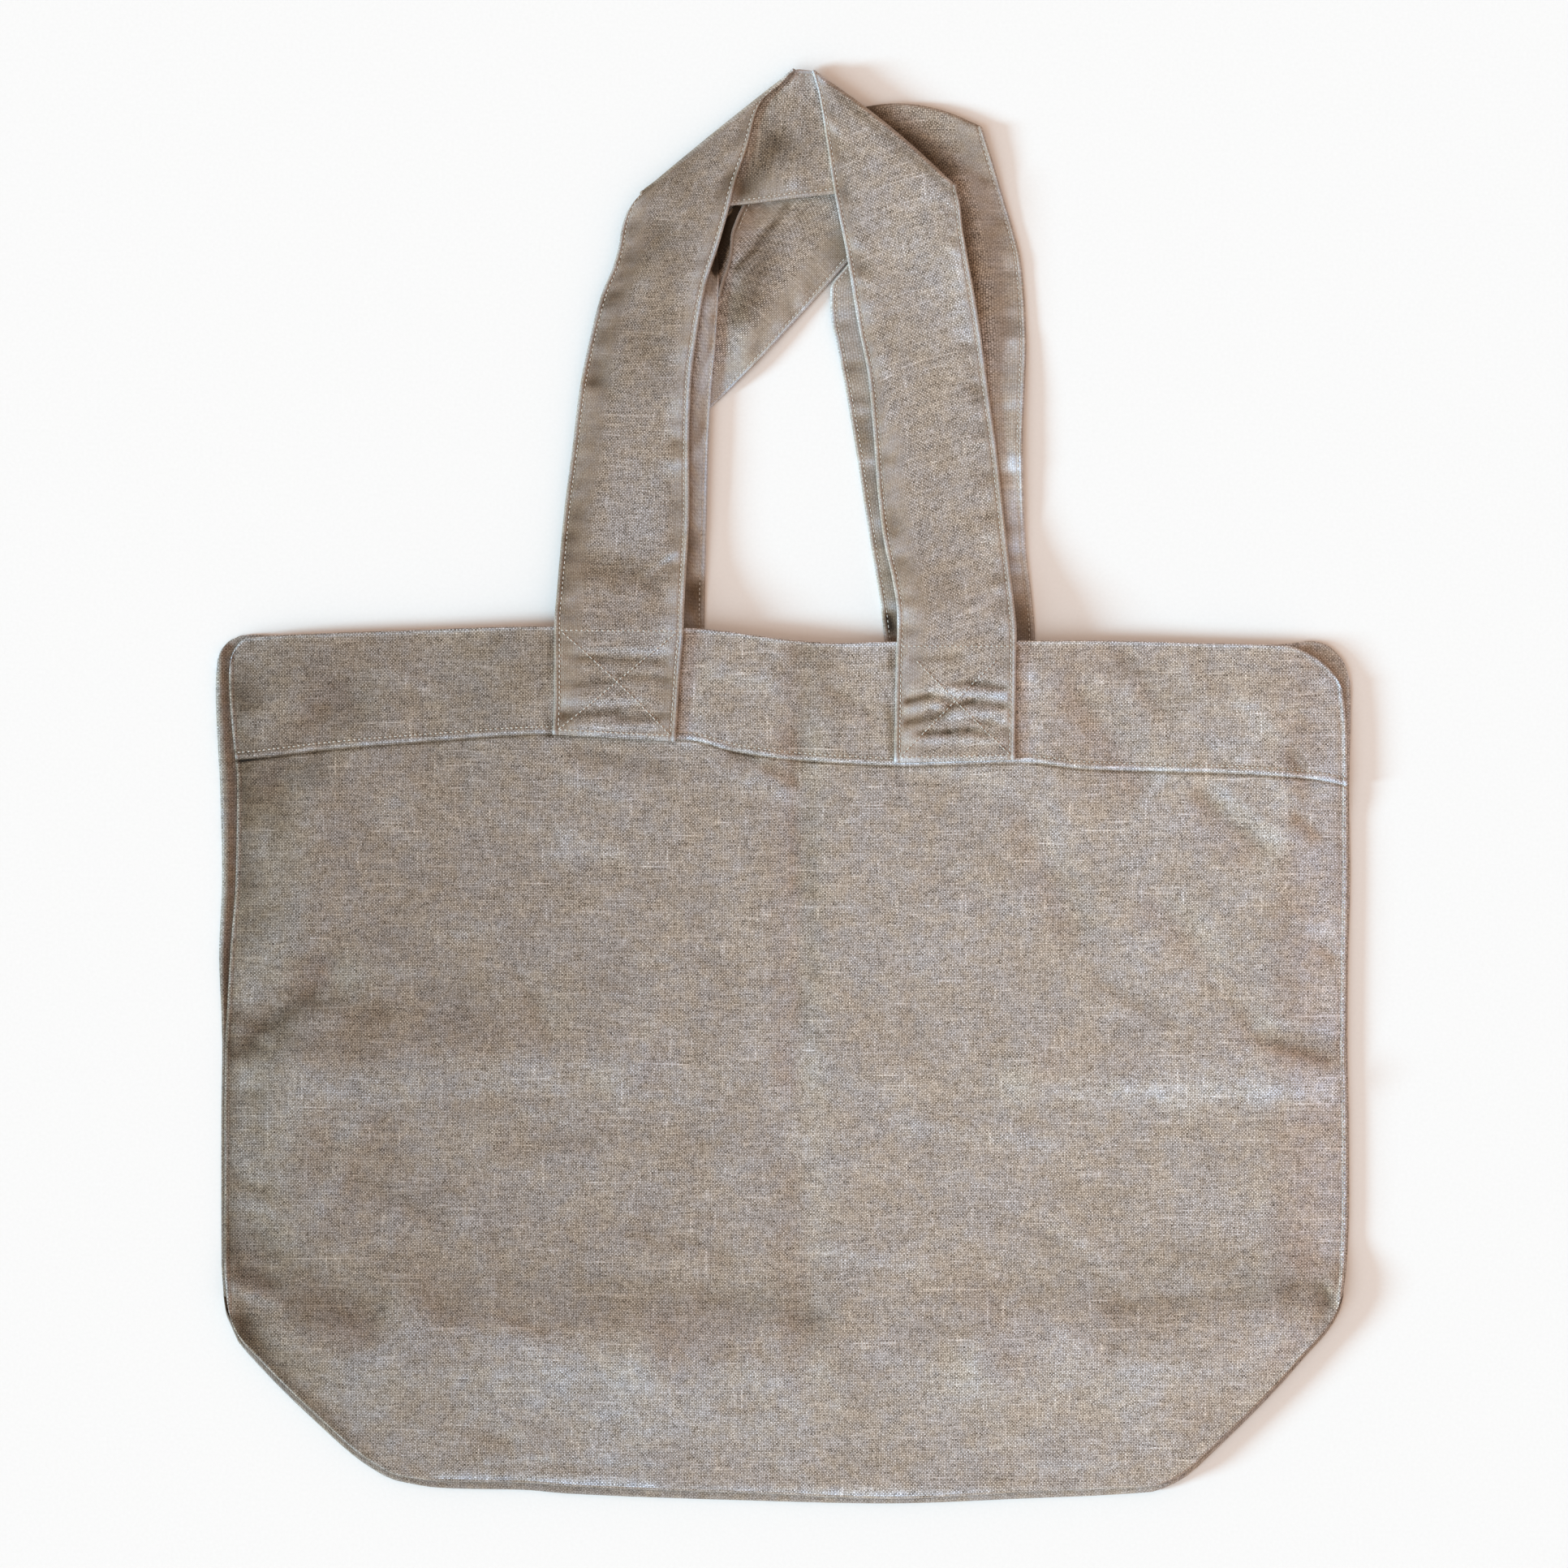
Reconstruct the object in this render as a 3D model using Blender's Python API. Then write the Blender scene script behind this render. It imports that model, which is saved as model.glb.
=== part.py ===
"""Linen tote bag lying flat, face up, in metres, +Z up.

The mouth and the straps point to +Y. The back panel rests on the floor at
z = 0 and the front panel lies over it. The bag has a boxed bottom that is
folded flat: both panels turn in at the bottom edge and at the slanting
corners, and their turned-in layers lie inside the bag up to one level line.
Tables are in millimetres, with a row per section, station or fold.
"""
import math
from collections import namedtuple

import bmesh
import bpy

MM = 0.001

# Cloth, seams and layers
CLOTH = 1.2            # one layer of the body linen
HEM = 0.9              # the extra layer of the turned-over mouth hem
BACK_HEM = 0.8         # the same on the back panel, pressed flat
STRAP = 1.6            # a strap of folded linen, stitched flat
GAP = 0.3              # between layers that touch
LIP = 1.6              # the left edge of the back panel rolled up
TURN = CLOTH + GAP / 2  # outer radius of a turned-in edge

# Heights of the front panel's underside
SEAM_LOW = CLOTH + GAP                  # along the side seams
SEAM_HIGH = 3 * (CLOTH + GAP)           # over the turned-in layers
POCKET = 8.0                            # over the open pocket
DROOP = 0.5                             # of the pocket's height, at the mouth's two ends
SIDE_RUN = 38.0                         # from the side seam up to the pocket
FOOT_RUN = 55.0                         # from the bottom edge up to the pocket
LEVEL = -245.5                          # upper edge of the turned-in layers
SPLIT = -222.0                          # where the bottom rows begin

# Side edges of both panels, from the mouth down to the slanting corners
Side = namedtuple("Side", "y back_left front_left front_right back_right")
SIDES = [
    Side(50, -251.4, -245.5, 246.5, 251.2),
    Side(42, -251.6, -245.4, 247.9, 251.6),
    Side(25, -251.0, -244.1, 249.6, 251.5),
    Side(0, -249.7, -242.0, 250.0, 250.9),
    Side(-40, -248.8, -242.6, 250.0, 251.4),
    Side(-75, -250.1, -245.2, 249.5, 250.5),
    Side(-102, -249.1, -246.6, 249.2, 250.2),
    Side(-116, -248.8, -247.3, 249.2, 250.2),
    Side(-150, -249.2, -247.7, 249.8, 250.8),
    Side(-185, -249.2, -247.7, 249.9, 250.9),
    Side(-211, -249.1, -247.6, 248.9, 250.0),
    Side(-226, -248.1, -246.6, 247.2, 248.3),
]

# Mouth of the front panel and the lower edge of its hem
Mouth = namedtuple("Mouth", "x edge hem")
FRONT_MOUTH = [
    Mouth(-245.5, 50.0, 12.0),
    Mouth(-245.0, 55.5, 12.1),
    Mouth(-242.6, 61.6, 12.2),
    Mouth(-237.6, 66.0, 12.6),
    Mouth(-203.0, 67.8, 16.6),
    Mouth(-167.0, 69.1, 19.6),
    Mouth(-102.5, 70.9, 23.4),
    Mouth(-44.5, 70.2, 20.8),
    Mouth(-23.0, 68.4, 15.4),
    Mouth(0.0, 65.2, 12.2),
    Mouth(25.5, 63.4, 10.4),
    Mouth(49.0, 64.1, 9.4),
    Mouth(103.0, 64.4, 10.8),
    Mouth(130.5, 64.6, 7.9),
    Mouth(165.0, 64.1, 6.8),
    Mouth(188.0, 63.4, 6.2),
    Mouth(222.5, 62.4, 4.3),
    Mouth(232.6, 59.0, 3.2),
    Mouth(239.4, 54.4, 2.0),
    Mouth(244.6, 48.6, 0.8),
    Mouth(246.5, 43.0, 0.2),
]
Edge = namedtuple("Edge", "x y")
BACK_MOUTH = [
    Edge(-251.4, 50.0), Edge(-250.8, 56.0), Edge(-248.8, 61.0), Edge(-244.1, 65.5),
    Edge(-238.3, 67.3), Edge(-203.0, 66.4), Edge(-102.5, 69.3), Edge(-44.5, 68.8),
    Edge(0.0, 63.8), Edge(25.5, 62.0), Edge(103.0, 63.0), Edge(188.0, 62.2),
    Edge(223.6, 63.2), Edge(233.6, 64.4), Edge(239.4, 63.4), Edge(245.2, 59.4),
    Edge(249.4, 53.4), Edge(251.2, 46.0),
]
# Bottom edge with the slanting corners of the folded boxed bottom
FOOT = [
    Edge(-248.1, -227.0), Edge(-246.8, -234.4), Edge(-243.8, -242.8), Edge(-240.5, -247.8),
    Edge(-234.4, -254.6), Edge(-225.2, -264.4), Edge(-206.8, -282.1), Edge(-188.4, -298.3),
    Edge(-181.7, -302.8), Edge(-173.2, -307.3), Edge(-164.5, -309.2), Edge(-155.5, -310.7),
    Edge(-141.5, -311.4), Edge(-117.0, -311.8), Edge(-94.7, -313.6), Edge(-21.2, -316.4),
    Edge(45.0, -317.9), Edge(107.3, -315.7), Edge(163.1, -312.8), Edge(170.6, -310.3),
    Edge(178.6, -306.0), Edge(187.9, -297.7), Edge(217.1, -268.9), Edge(231.5, -252.7),
    Edge(241.9, -240.8), Edge(246.8, -232.2), Edge(248.3, -227.0),
]
# How far the front panel's bottom edge lies inside that of the back panel
Inset = namedtuple("Inset", "x by")
INSETS = [
    Inset(-248, 0.6), Inset(-225, 2.2), Inset(-180, 2.4), Inset(-140, 3.4),
    Inset(-20, 3.6), Inset(50, 2.4), Inset(120, 3.2), Inset(180, 2.2), Inset(248, 0.6),
]

# Soft folds of the front panel: a negative rise is a trough
Fold = namedtuple("Fold", "x1 y1 x2 y2 width rise")
FOLDS = [
    Fold(7, 20, 6, -128, 8, -1.5),             # centre crease
    Fold(6, -128, 10, -262, 9, -0.8),          # centre crease, fainter below
    Fold(-238, -124, -70, -127, 13, 1.4),      # halfway crease, left
    Fold(-70, -127, 110, -126, 11, 0.8),       # halfway crease, middle
    Fold(110, -129, 246, -131, 12, 1.8),       # halfway crease, right
    Fold(-242, -113, -200, -86, 10, -3.0),     # hollow at the left seam
    Fold(-200, -88, -110, -98, 13, -1.4),      # its flat tail
    Fold(-222, 4, -192, 36, 11, -1.8),         # hollow in the hem, left
    Fold(-240, -204, -185, -234, 14, -2.6),    # hollow over the left corner
    Fold(-228, -252, -60, -254, 15, 2.2),      # ridge over the folded bottom
    Fold(-60, -254, 90, -256, 15, 1.5),
    Fold(90, -256, 228, -250, 15, 2.3),
    Fold(-150, -222, -20, -230, 13, -1.4),     # band above that ridge
    Fold(100, -224, 200, -226, 13, -1.2),
    Fold(131, 39, 160, 4, 9, -1.4),            # hollows at the right
    Fold(110, -20, 129, -60, 9, -1.0),
    Fold(190, -12, 208, -26, 9, -1.5),
    Fold(168, -55, 186, -74, 9, -1.4),
    Fold(208, -110, 244, -122, 9, -2.0),
]

# Feet of the back handle, under the back panel
Pad = namedtuple("Pad", "x1 x2 y1")
PADS = [Pad(-88.9, -34.9, 19.4), Pad(47.0, 111.6, 19.4)]
PAD_EDGE = 2.5         # the lift reaches this far beyond a foot
PAD_RUN = 9.0          # and runs out over this much more

# Strap stations: edge a is the outer one of the loop, edge b the inner one.
# z is the underside. A fold turns the strap over at that station, to the
# height in its second z, with its middle pushed out by bow.
Station = namedtuple("Station", "ax ay bx by z")
Crease = namedtuple("Crease", "ax ay bx by z to bow")
FRONT_STRAP = [
    Station(-101.9, 22.9, -47.5, 19.8, None),
    Station(-101.2, 40.0, -46.3, 38.0, None),
    Station(-101.2, 57.0, -45.0, 56.0, None),
    Station(-101.2, 69.0, -44.0, 68.5, None),
    Station(-101.1, 74.5, -43.9, 74.5, 9.6),
    Station(-100.2, 86.0, -43.4, 86.0, 7.0),
    Station(-98.8, 103.0, -42.4, 103.0, 4.9),
    Station(-96.6, 125.6, -41.5, 126.0, 4.3),
    Station(-93.4, 150.0, -41.6, 150.0, 4.3),
    Station(-90.2, 176.0, -40.8, 177.0, 4.3),
    Station(-85.2, 200.5, -37.6, 203.0, 4.4),
    Station(-80.6, 217.5, -33.6, 224.0, 4.6),
    Station(-75.4, 230.0, -28.6, 239.5, 4.7),
    Station(-73.0, 238.5, -24.6, 253.5, 4.8),
    Station(-71.6, 247.0, -20.8, 268.5, 4.9),
    Station(-69.4, 253.8, -15.8, 283.0, 4.9),
    Station(-66.8, 258.0, -10.8, 301.0, 4.9),
    Crease(-63.5, 262.4, 5.0, 317.8, 4.9, 2.9, 0.6),
    Station(-30.0, 257.0, 7.0, 317.6, 3.8),
    Station(10.0, 261.0, 9.0, 317.4, 3.9),
    Station(45.0, 264.3, 11.0, 317.2, 3.9),
    Crease(76.8, 265.2, 13.0, 317.0, 3.9, 5.9, 2.4),
    Station(78.2, 258.0, 15.6, 307.0, 5.9),
    Station(79.4, 247.5, 18.8, 288.0, 5.8),
    Station(81.4, 236.0, 22.8, 262.0, 5.4),
    Station(84.4, 219.5, 28.2, 234.6, 4.9),
    Station(87.6, 200.0, 32.8, 206.0, 4.3),
    Station(90.7, 177.0, 37.8, 180.0, 3.3),
    Station(94.3, 152.0, 40.4, 150.0, 3.0),
    Station(96.8, 130.0, 42.2, 127.0, 3.2),
    Station(99.0, 109.0, 44.8, 107.0, 4.2),
    Station(101.0, 92.0, 48.2, 92.0, 6.2),
    Station(102.4, 78.0, 50.2, 78.0, 8.6),
    Station(103.2, 68.4, 50.4, 68.4, 9.7),
    Station(103.1, 61.0, 50.0, 61.0, None),
    Station(102.9, 45.0, 49.6, 45.0, None),
    Station(102.7, 28.0, 49.3, 27.0, None),
    Station(102.6, 11.6, 49.0, 10.4, None),
]
BACK_STRAP = [
    Station(111.6, 19.4, 53.0, 19.4, 0.0),
    Station(111.6, 45.0, 49.5, 45.0, 0.0),
    Station(111.6, 66.0, 45.2, 64.0, 0.0),
    Station(110.2, 84.0, 43.1, 81.4, 0.0),
    Station(107.6, 106.0, 39.5, 103.0, 0.0),
    Station(106.6, 128.0, 35.7, 126.7, 0.0),
    Station(106.2, 152.0, 32.4, 148.0, 0.0),
    Station(107.0, 176.0, 28.0, 174.0, 0.2),
    Station(107.8, 196.0, 24.2, 194.0, 1.1),
    Station(107.3, 212.0, 21.0, 211.0, 1.9),
    Station(105.4, 233.0, 20.6, 234.0, 1.9),
    Station(102.0, 247.0, 21.6, 254.0, 1.9),
    Station(97.4, 262.0, 22.8, 271.0, 1.9),
    Station(92.6, 278.0, 23.8, 286.0, 1.9),
    Crease(88.4, 291.6, 25.0, 298.0, 1.9, 0.0, 7.6),
    Station(68.0, 272.5, 14.0, 289.0, 0.0),
    Station(49.0, 253.3, 3.0, 278.5, 0.0),
    Station(29.5, 232.9, -8.0, 267.5, 0.0),
    Station(9.0, 209.9, -17.5, 260.5, 0.0),
    Station(-12.6, 186.8, -22.5, 256.5, 0.0),
    Station(-29.9, 169.9, -26.5, 252.5, 0.0),
    Station(-60.0, 143.8, -29.0, 249.0, 0.0),
    Crease(-89.6, 118.4, -30.5, 245.5, 0.0, 1.9, 0.0),
    Station(-89.4, 112.0, -28.4, 226.0, 1.9),
    Station(-89.3, 105.0, -29.8, 198.0, 1.9),
    Station(-89.2, 98.0, -32.0, 174.0, 1.9),
    Station(-89.1, 92.0, -33.2, 148.0, 1.9),
    Station(-89.0, 86.0, -33.8, 124.0, 1.7),
    Station(-88.9, 80.0, -34.4, 100.0, 1.0),
    Station(-88.9, 74.5, -34.8, 80.0, 0.2),
    Station(-88.9, 68.0, -34.9, 68.0, 0.0),
    Station(-88.9, 45.0, -34.9, 45.0, 0.0),
    Station(-88.9, 19.4, -34.9, 19.4, 0.0),
]

# Columns across a panel and rows down it, as spans with equal steps
Span = namedtuple("Span", "start steps")
FRONT_COLUMNS = [
    Span(-248, 3), Span(-240, 7), Span(-160, 11), Span(-20, 6), Span(30, 11), Span(160, 7),
    Span(240, 3), Span(248, 0),
]
BACK_COLUMNS = [
    Span(-245.5, 2), Span(-238, 4), Span(-160, 3), Span(-102, 1), Span(-91, 2), Span(-33, 1),
    Span(-22, 3), Span(34, 1), Span(45, 3), Span(113.5, 1), Span(125, 3), Span(183, 4),
    Span(242, 2), Span(251, 0),
]
BACK_TOP_ROWS = [17.0, 8.0, -2.0]
LIP_COLUMNS = [0.0, 0.18, 0.5, 0.72, 0.86]
HEM_ROWS = [0.0, 0.1, 0.5, 0.94]
FRONT_ROWS = 20
FRONT_FOOT_ROWS = 8
BACK_ROWS = 9
BACK_FOOT_ROWS = 5
BEND_STEPS = 4
FLAP_ROWS = 4
BEND_ROWS = 6          # steps round a folded strap


def ease(t):
    t = min(max(t, 0.0), 1.0)
    return t * t * (3 - 2 * t)


def dome(t):
    t = min(max(t, 0.0), 1.0)
    return math.sin(t * math.pi / 2) ** 1.3


def mix(a, b, t):
    return a + (b - a) * t


def lookup(table, value, column, key="x"):
    """Value of a column along a table, as a smooth curve with no overshoot."""
    rows = sorted(table, key=lambda row: getattr(row, key))
    keys = [getattr(row, key) for row in rows]
    vals = [getattr(row, column) for row in rows]
    if value <= keys[0]:
        return vals[0]
    if value >= keys[-1]:
        return vals[-1]
    i = max(k for k in range(len(keys) - 1) if keys[k] <= value)

    def chord(k):
        return (vals[k + 1] - vals[k]) / (keys[k + 1] - keys[k])

    def slope(k):
        if k in (0, len(keys) - 1):
            return chord(min(k, len(keys) - 2))
        before, after = chord(k - 1), chord(k)
        return 0.0 if before * after <= 0 else 2 * before * after / (before + after)

    width = keys[i + 1] - keys[i]
    t = (value - keys[i]) / width
    start = (1 + 2 * t) * (1 - t) ** 2 * vals[i] + t * (1 - t) ** 2 * width * slope(i)
    end = t * t * (3 - 2 * t) * vals[i + 1] + t * t * (t - 1) * width * slope(i + 1)
    return start + end


def stops(spans):
    """Positions of spans with equal steps, scaled to run from 0 to 1."""
    out = []
    for here, after in zip(spans, spans[1:]):
        out += [mix(here.start, after.start, i / here.steps) for i in range(here.steps)]
    out.append(spans[-1].start)
    return [(v - out[0]) / (out[-1] - out[0]) for v in out]


def side(y, column):
    return lookup(SIDES, y, column, key="y")


def across(panel, u, y):
    return mix(side(y, panel + "_left"), side(y, panel + "_right"), u)


def fold_rise(x, y):
    total = 0.0
    for fold in FOLDS:
        dx, dy = fold.x2 - fold.x1, fold.y2 - fold.y1
        run = math.hypot(dx, dy)
        along = ((x - fold.x1) * dx + (y - fold.y1) * dy) / run
        off = abs((x - fold.x1) * dy - (y - fold.y1) * dx) / run
        past = max(-along, along - run, 0.0)
        total += fold.rise * math.exp(-(off / fold.width) ** 2 - (past / fold.width) ** 2)
    return total


def front_foot(u):
    x = mix(FOOT[0].x, FOOT[-1].x, u)
    return lookup(FOOT, x, "y") + lookup(INSETS, x, "by")


def under_front(x, y, foot):
    """Underside of the front panel; foot is the y of its bottom edge there."""
    near = min(x - side(y, "front_left"), side(y, "front_right") - x)
    seam = mix(SEAM_HIGH, SEAM_LOW, ease((y + 224) / 26)) + BACK_HEM * ease((y + 16) / 12)
    rise = dome(near / SIDE_RUN) * ease((y - foot - TURN) / FOOT_RUN)
    rise *= 1 - DROOP * ease((abs(x) - 108) / 55) * ease((y + 40) / 80)
    z = mix(seam, POCKET, rise)
    inner = ease(near / 22) * ease((y - foot - TURN) / 18)
    return z + fold_rise(x, y) * inner


def pad_lift(x, y):
    """Lift of the back panel over the handle feet under it."""
    lift = 0.0
    for pad in PADS:
        off = max(pad.x1 - x, x - pad.x2, pad.y1 - y, 0.0)
        lift = max(lift, 1 - ease((off - PAD_EDGE) / PAD_RUN))
    return lift * (STRAP + GAP)


def shell(name, outer, inner, color, roughness=0.9):
    """A closed sheet between two grids of points with the same rows."""
    rows, cols = len(outer), len(outer[0])
    verts = [p for grid in (outer, inner) for row in grid for p in row]

    def at(layer, r, c):
        return layer * rows * cols + r * cols + c

    faces = []
    for r in range(rows - 1):
        for c in range(cols - 1):
            quad = [(r, c), (r, c + 1), (r + 1, c + 1), (r + 1, c)]
            faces.append([at(0, *p) for p in quad])
            faces.append([at(1, *p) for p in reversed(quad)])
    ring = [(0, c) for c in range(cols)] + [(r, cols - 1) for r in range(1, rows)]
    ring += [(rows - 1, c) for c in range(cols - 2, -1, -1)]
    ring += [(r, 0) for r in range(rows - 2, 0, -1)]
    for p, q in zip(ring, ring[1:] + ring[:1]):
        faces.append([at(0, *q), at(0, *p), at(1, *p), at(1, *q)])

    mesh = bpy.data.meshes.new(name)
    mesh.from_pydata([(x * MM, y * MM, z * MM) for x, y, z in verts], [], faces)
    solid = bmesh.new()
    solid.from_mesh(mesh)
    bmesh.ops.recalc_face_normals(solid, faces=solid.faces)
    solid.to_mesh(mesh)
    solid.free()
    obj = bpy.data.objects.new(name, mesh)
    bpy.context.collection.objects.link(obj)
    mat = bpy.data.materials.new(name + "_linen")
    mat.use_nodes = True
    bsdf = mat.node_tree.nodes["Principled BSDF"]
    bsdf.inputs["Base Color"].default_value = (*color, 1)
    bsdf.inputs["Roughness"].default_value = roughness
    mesh.materials.append(mat)
    return obj


def build_front():
    outer_cols, inner_cols = [], []
    for u in stops(FRONT_COLUMNS):
        foot = front_foot(u)
        x0 = across("front", u, 50)
        mouth, hem = lookup(FRONT_MOUTH, x0, "edge"), lookup(FRONT_MOUTH, x0, "hem")
        outer, inner = [], []
        ys = [(mix(mouth, hem, t), HEM) for t in HEM_ROWS] + [(hem - 0.6, 0.0)]
        top = hem - 0.6
        ys += [(mix(top, SPLIT, (i + 1) / FRONT_ROWS), 0.0) for i in range(FRONT_ROWS)]
        end = foot + TURN
        ys += [(mix(SPLIT, end, (i + 1) / FRONT_FOOT_ROWS), 0.0)
               for i in range(FRONT_FOOT_ROWS)]
        for y, extra in ys:
            x = across("front", u, y)
            z = under_front(x, y, foot)
            outer.append((x, y, z + CLOTH + extra))
            inner.append((x, y, z))
        x = across("front", u, foot)
        middle = SEAM_HIGH - GAP / 2
        for i in range(1, BEND_STEPS + 1):
            a = math.pi * i / BEND_STEPS
            outer.append((x, end - TURN * math.sin(a), middle + TURN * math.cos(a)))
            inner.append((x, end - GAP / 2 * math.sin(a), middle + GAP / 2 * math.cos(a)))
        top = max(LEVEL, end + 1.0)
        for i in range(1, FLAP_ROWS + 1):
            y = mix(end, top, i / FLAP_ROWS)
            outer.append((x, y, middle - TURN))
            inner.append((x, y, middle - GAP / 2))
        outer_cols.append(outer)
        inner_cols.append(inner)
    return shell("front_panel", outer_cols, inner_cols, (0.37, 0.32, 0.28))


def build_back():
    us = [("lip", t) for t in LIP_COLUMNS] + [("main", u) for u in stops(BACK_COLUMNS)]
    outer_cols, inner_cols = [], []

    def place(kind, t, y):
        left, edge = side(y, "back_left"), side(y, "front_left")
        if kind == "lip":
            return mix(left, edge, t)
        return mix(edge, side(y, "back_right"), t)

    for kind, t in us:
        x0 = place(kind, t, 50)
        mouth = lookup(BACK_MOUTH, x0, "y")
        x1 = place(kind, t, -226)
        foot = lookup(FOOT, x1, "y")
        hem = lookup(FRONT_MOUTH, x0, "hem") + 2
        end = foot + TURN
        ys = [mouth, mix(mouth, BACK_TOP_ROWS[0], 0.5)] + BACK_TOP_ROWS
        ys += [mix(ys[-1], SPLIT, (i + 1) / BACK_ROWS) for i in range(BACK_ROWS)]
        ys += [mix(SPLIT, end, (i + 1) / BACK_FOOT_ROWS) for i in range(BACK_FOOT_ROWS)]
        outer, inner = [], []
        for y in ys:
            x = place(kind, t, y)
            z = pad_lift(x, y)
            thick = CLOTH + BACK_HEM * ease((y - hem + 9) / 9)
            strip = side(y, "front_left") - side(y, "back_left")
            if kind == "lip":
                roll = min(max((strip - 1.8) / 3, 0), 1) * ease((y + 205) / 20)
                thick += LIP * roll * math.sin(math.pi * min(t + 0.12, 0.98))
            outer.append((x, y, z))
            inner.append((x, y, z + thick))
        for i in range(1, BEND_STEPS + 1):
            a = math.pi * i / BEND_STEPS
            outer.append((x, end - TURN * math.sin(a), TURN - TURN * math.cos(a)))
            inner.append((x, end - GAP / 2 * math.sin(a), TURN - GAP / 2 * math.cos(a)))
        top = max(LEVEL, end + 1.0)
        for i in range(1, FLAP_ROWS + 1):
            y = mix(end, top, i / FLAP_ROWS)
            outer.append((x, y, 2 * TURN))
            inner.append((x, y, TURN + GAP / 2))
        outer_cols.append(outer)
        inner_cols.append(inner)
    return shell("back_panel", inner_cols, outer_cols, (0.35, 0.30, 0.26))


def over_hem(x, y):
    """Height of the strap feet that lie on the front panel's hem."""
    u = (x - side(y, "front_left")) / (side(y, "front_right") - side(y, "front_left"))
    return under_front(x, y, front_foot(u)) + CLOTH + HEM + GAP + 0.1


def build_strap(name, table, color, cells=4):
    """Sweep a strap through its stations, turning it over at each crease."""
    outer, inner = [], []

    def row(station, z, toward=(0, 0), shift=0.0, bow=0.0, tilt=0.0, up=1.0):
        """One row of points; toward is the way a fold points, and tilt and up
        are the parts of the strap's outer normal along it and upward."""
        tops, lows = [], []
        for c in range(cells + 1):
            t = c / cells
            push = bow * (1 - (2 * t - 1) ** 2) + shift
            x = mix(station.ax, station.bx, t) + toward[0] * push
            y = mix(station.ay, station.by, t) + toward[1] * push
            mid = (over_hem(x, y) if z is None else z) + STRAP / 2
            reach, rise = tilt * STRAP / 2, up * STRAP / 2
            tops.append((x + toward[0] * reach, y + toward[1] * reach, mid + rise))
            lows.append((x - toward[0] * reach, y - toward[1] * reach, mid - rise))
        outer.append(tops)
        inner.append(lows)

    face = 1
    for before, here in zip([None] + table, table):
        if isinstance(here, Station):
            row(here, here.z, up=face)
            continue
        dx, dy = here.bx - here.ax, here.by - here.ay
        toward = (-dy / math.hypot(dx, dy), dx / math.hypot(dx, dy))
        came_x = here.ax + here.bx - before.ax - before.bx
        came_y = here.ay + here.by - before.ay - before.by
        if toward[0] * came_x + toward[1] * came_y < 0:
            toward = (-toward[0], -toward[1])
        radius = abs(here.to - here.z) / 2
        sign = 1 if here.to > here.z else -1
        for i in range(BEND_ROWS + 1):
            a = math.pi * i / BEND_ROWS
            z = (here.z + here.to) / 2 - sign * radius * math.cos(a)
            shift = radius * math.sin(a) - radius - STRAP / 2
            row(here, z, toward, shift, here.bow, -face * sign * math.sin(a), face * math.cos(a))
        face = -face
    return shell(name, outer, inner, color)


def main():
    for obj in list(bpy.data.objects):
        bpy.data.objects.remove(obj, do_unlink=True)
    build_back()
    build_front()
    build_strap("handle_back", BACK_STRAP, (0.36, 0.31, 0.27))
    build_strap("handle_front", FRONT_STRAP, (0.38, 0.33, 0.29))


main()
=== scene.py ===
import math
from collections import namedtuple

import bpy
import numpy as np
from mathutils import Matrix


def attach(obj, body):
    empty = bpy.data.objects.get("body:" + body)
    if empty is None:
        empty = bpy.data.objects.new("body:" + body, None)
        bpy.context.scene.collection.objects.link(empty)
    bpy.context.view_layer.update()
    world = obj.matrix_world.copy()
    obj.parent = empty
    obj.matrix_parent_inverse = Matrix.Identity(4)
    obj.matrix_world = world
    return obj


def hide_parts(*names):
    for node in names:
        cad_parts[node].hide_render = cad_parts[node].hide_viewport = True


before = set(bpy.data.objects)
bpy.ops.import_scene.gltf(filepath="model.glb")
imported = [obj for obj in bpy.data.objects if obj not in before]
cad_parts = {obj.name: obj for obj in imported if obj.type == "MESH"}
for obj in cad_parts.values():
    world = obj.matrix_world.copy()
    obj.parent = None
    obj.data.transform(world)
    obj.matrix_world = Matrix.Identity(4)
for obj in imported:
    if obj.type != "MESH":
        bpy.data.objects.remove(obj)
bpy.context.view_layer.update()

MM = 0.001

# Layers, as in the solids
CLOTH = 1.2                   # thickness of the panels
HEM = 0.9                     # the hems add this to it
BACK_HEM = 0.8
STRAP = 1.6                   # thickness of the straps
GAP = 0.3                     # between two layers
LIP = 1.6                     # height of the roll along the back panel's left edge
TURN = CLOTH + GAP / 2        # outer radius of the turns at the bottom edge
# Underside of the front panel along the seams, at the bottom edge and in the middle
SEAM_LOW = CLOTH + GAP
SEAM_HIGH = 3 * (CLOTH + GAP)
POCKET = 8.0
DROOP = 0.5                   # share of that height missing at the upper corners
SIDE_RUN = 38.0               # the panel rises over these widths, from its sides
FOOT_RUN = 55.0               # and from the bottom edge
LEVEL = -245.5                # y where the turned-in layers end
SPLIT = -222.0                # y below which the rows follow the bottom edge
PANEL_WIDTH = 495.0           # that the panels' columns are spaced on


def table(kind, rows):
    """Rows of numbers with the named columns of that kind."""
    return [kind(*row) for row in rows]


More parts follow.
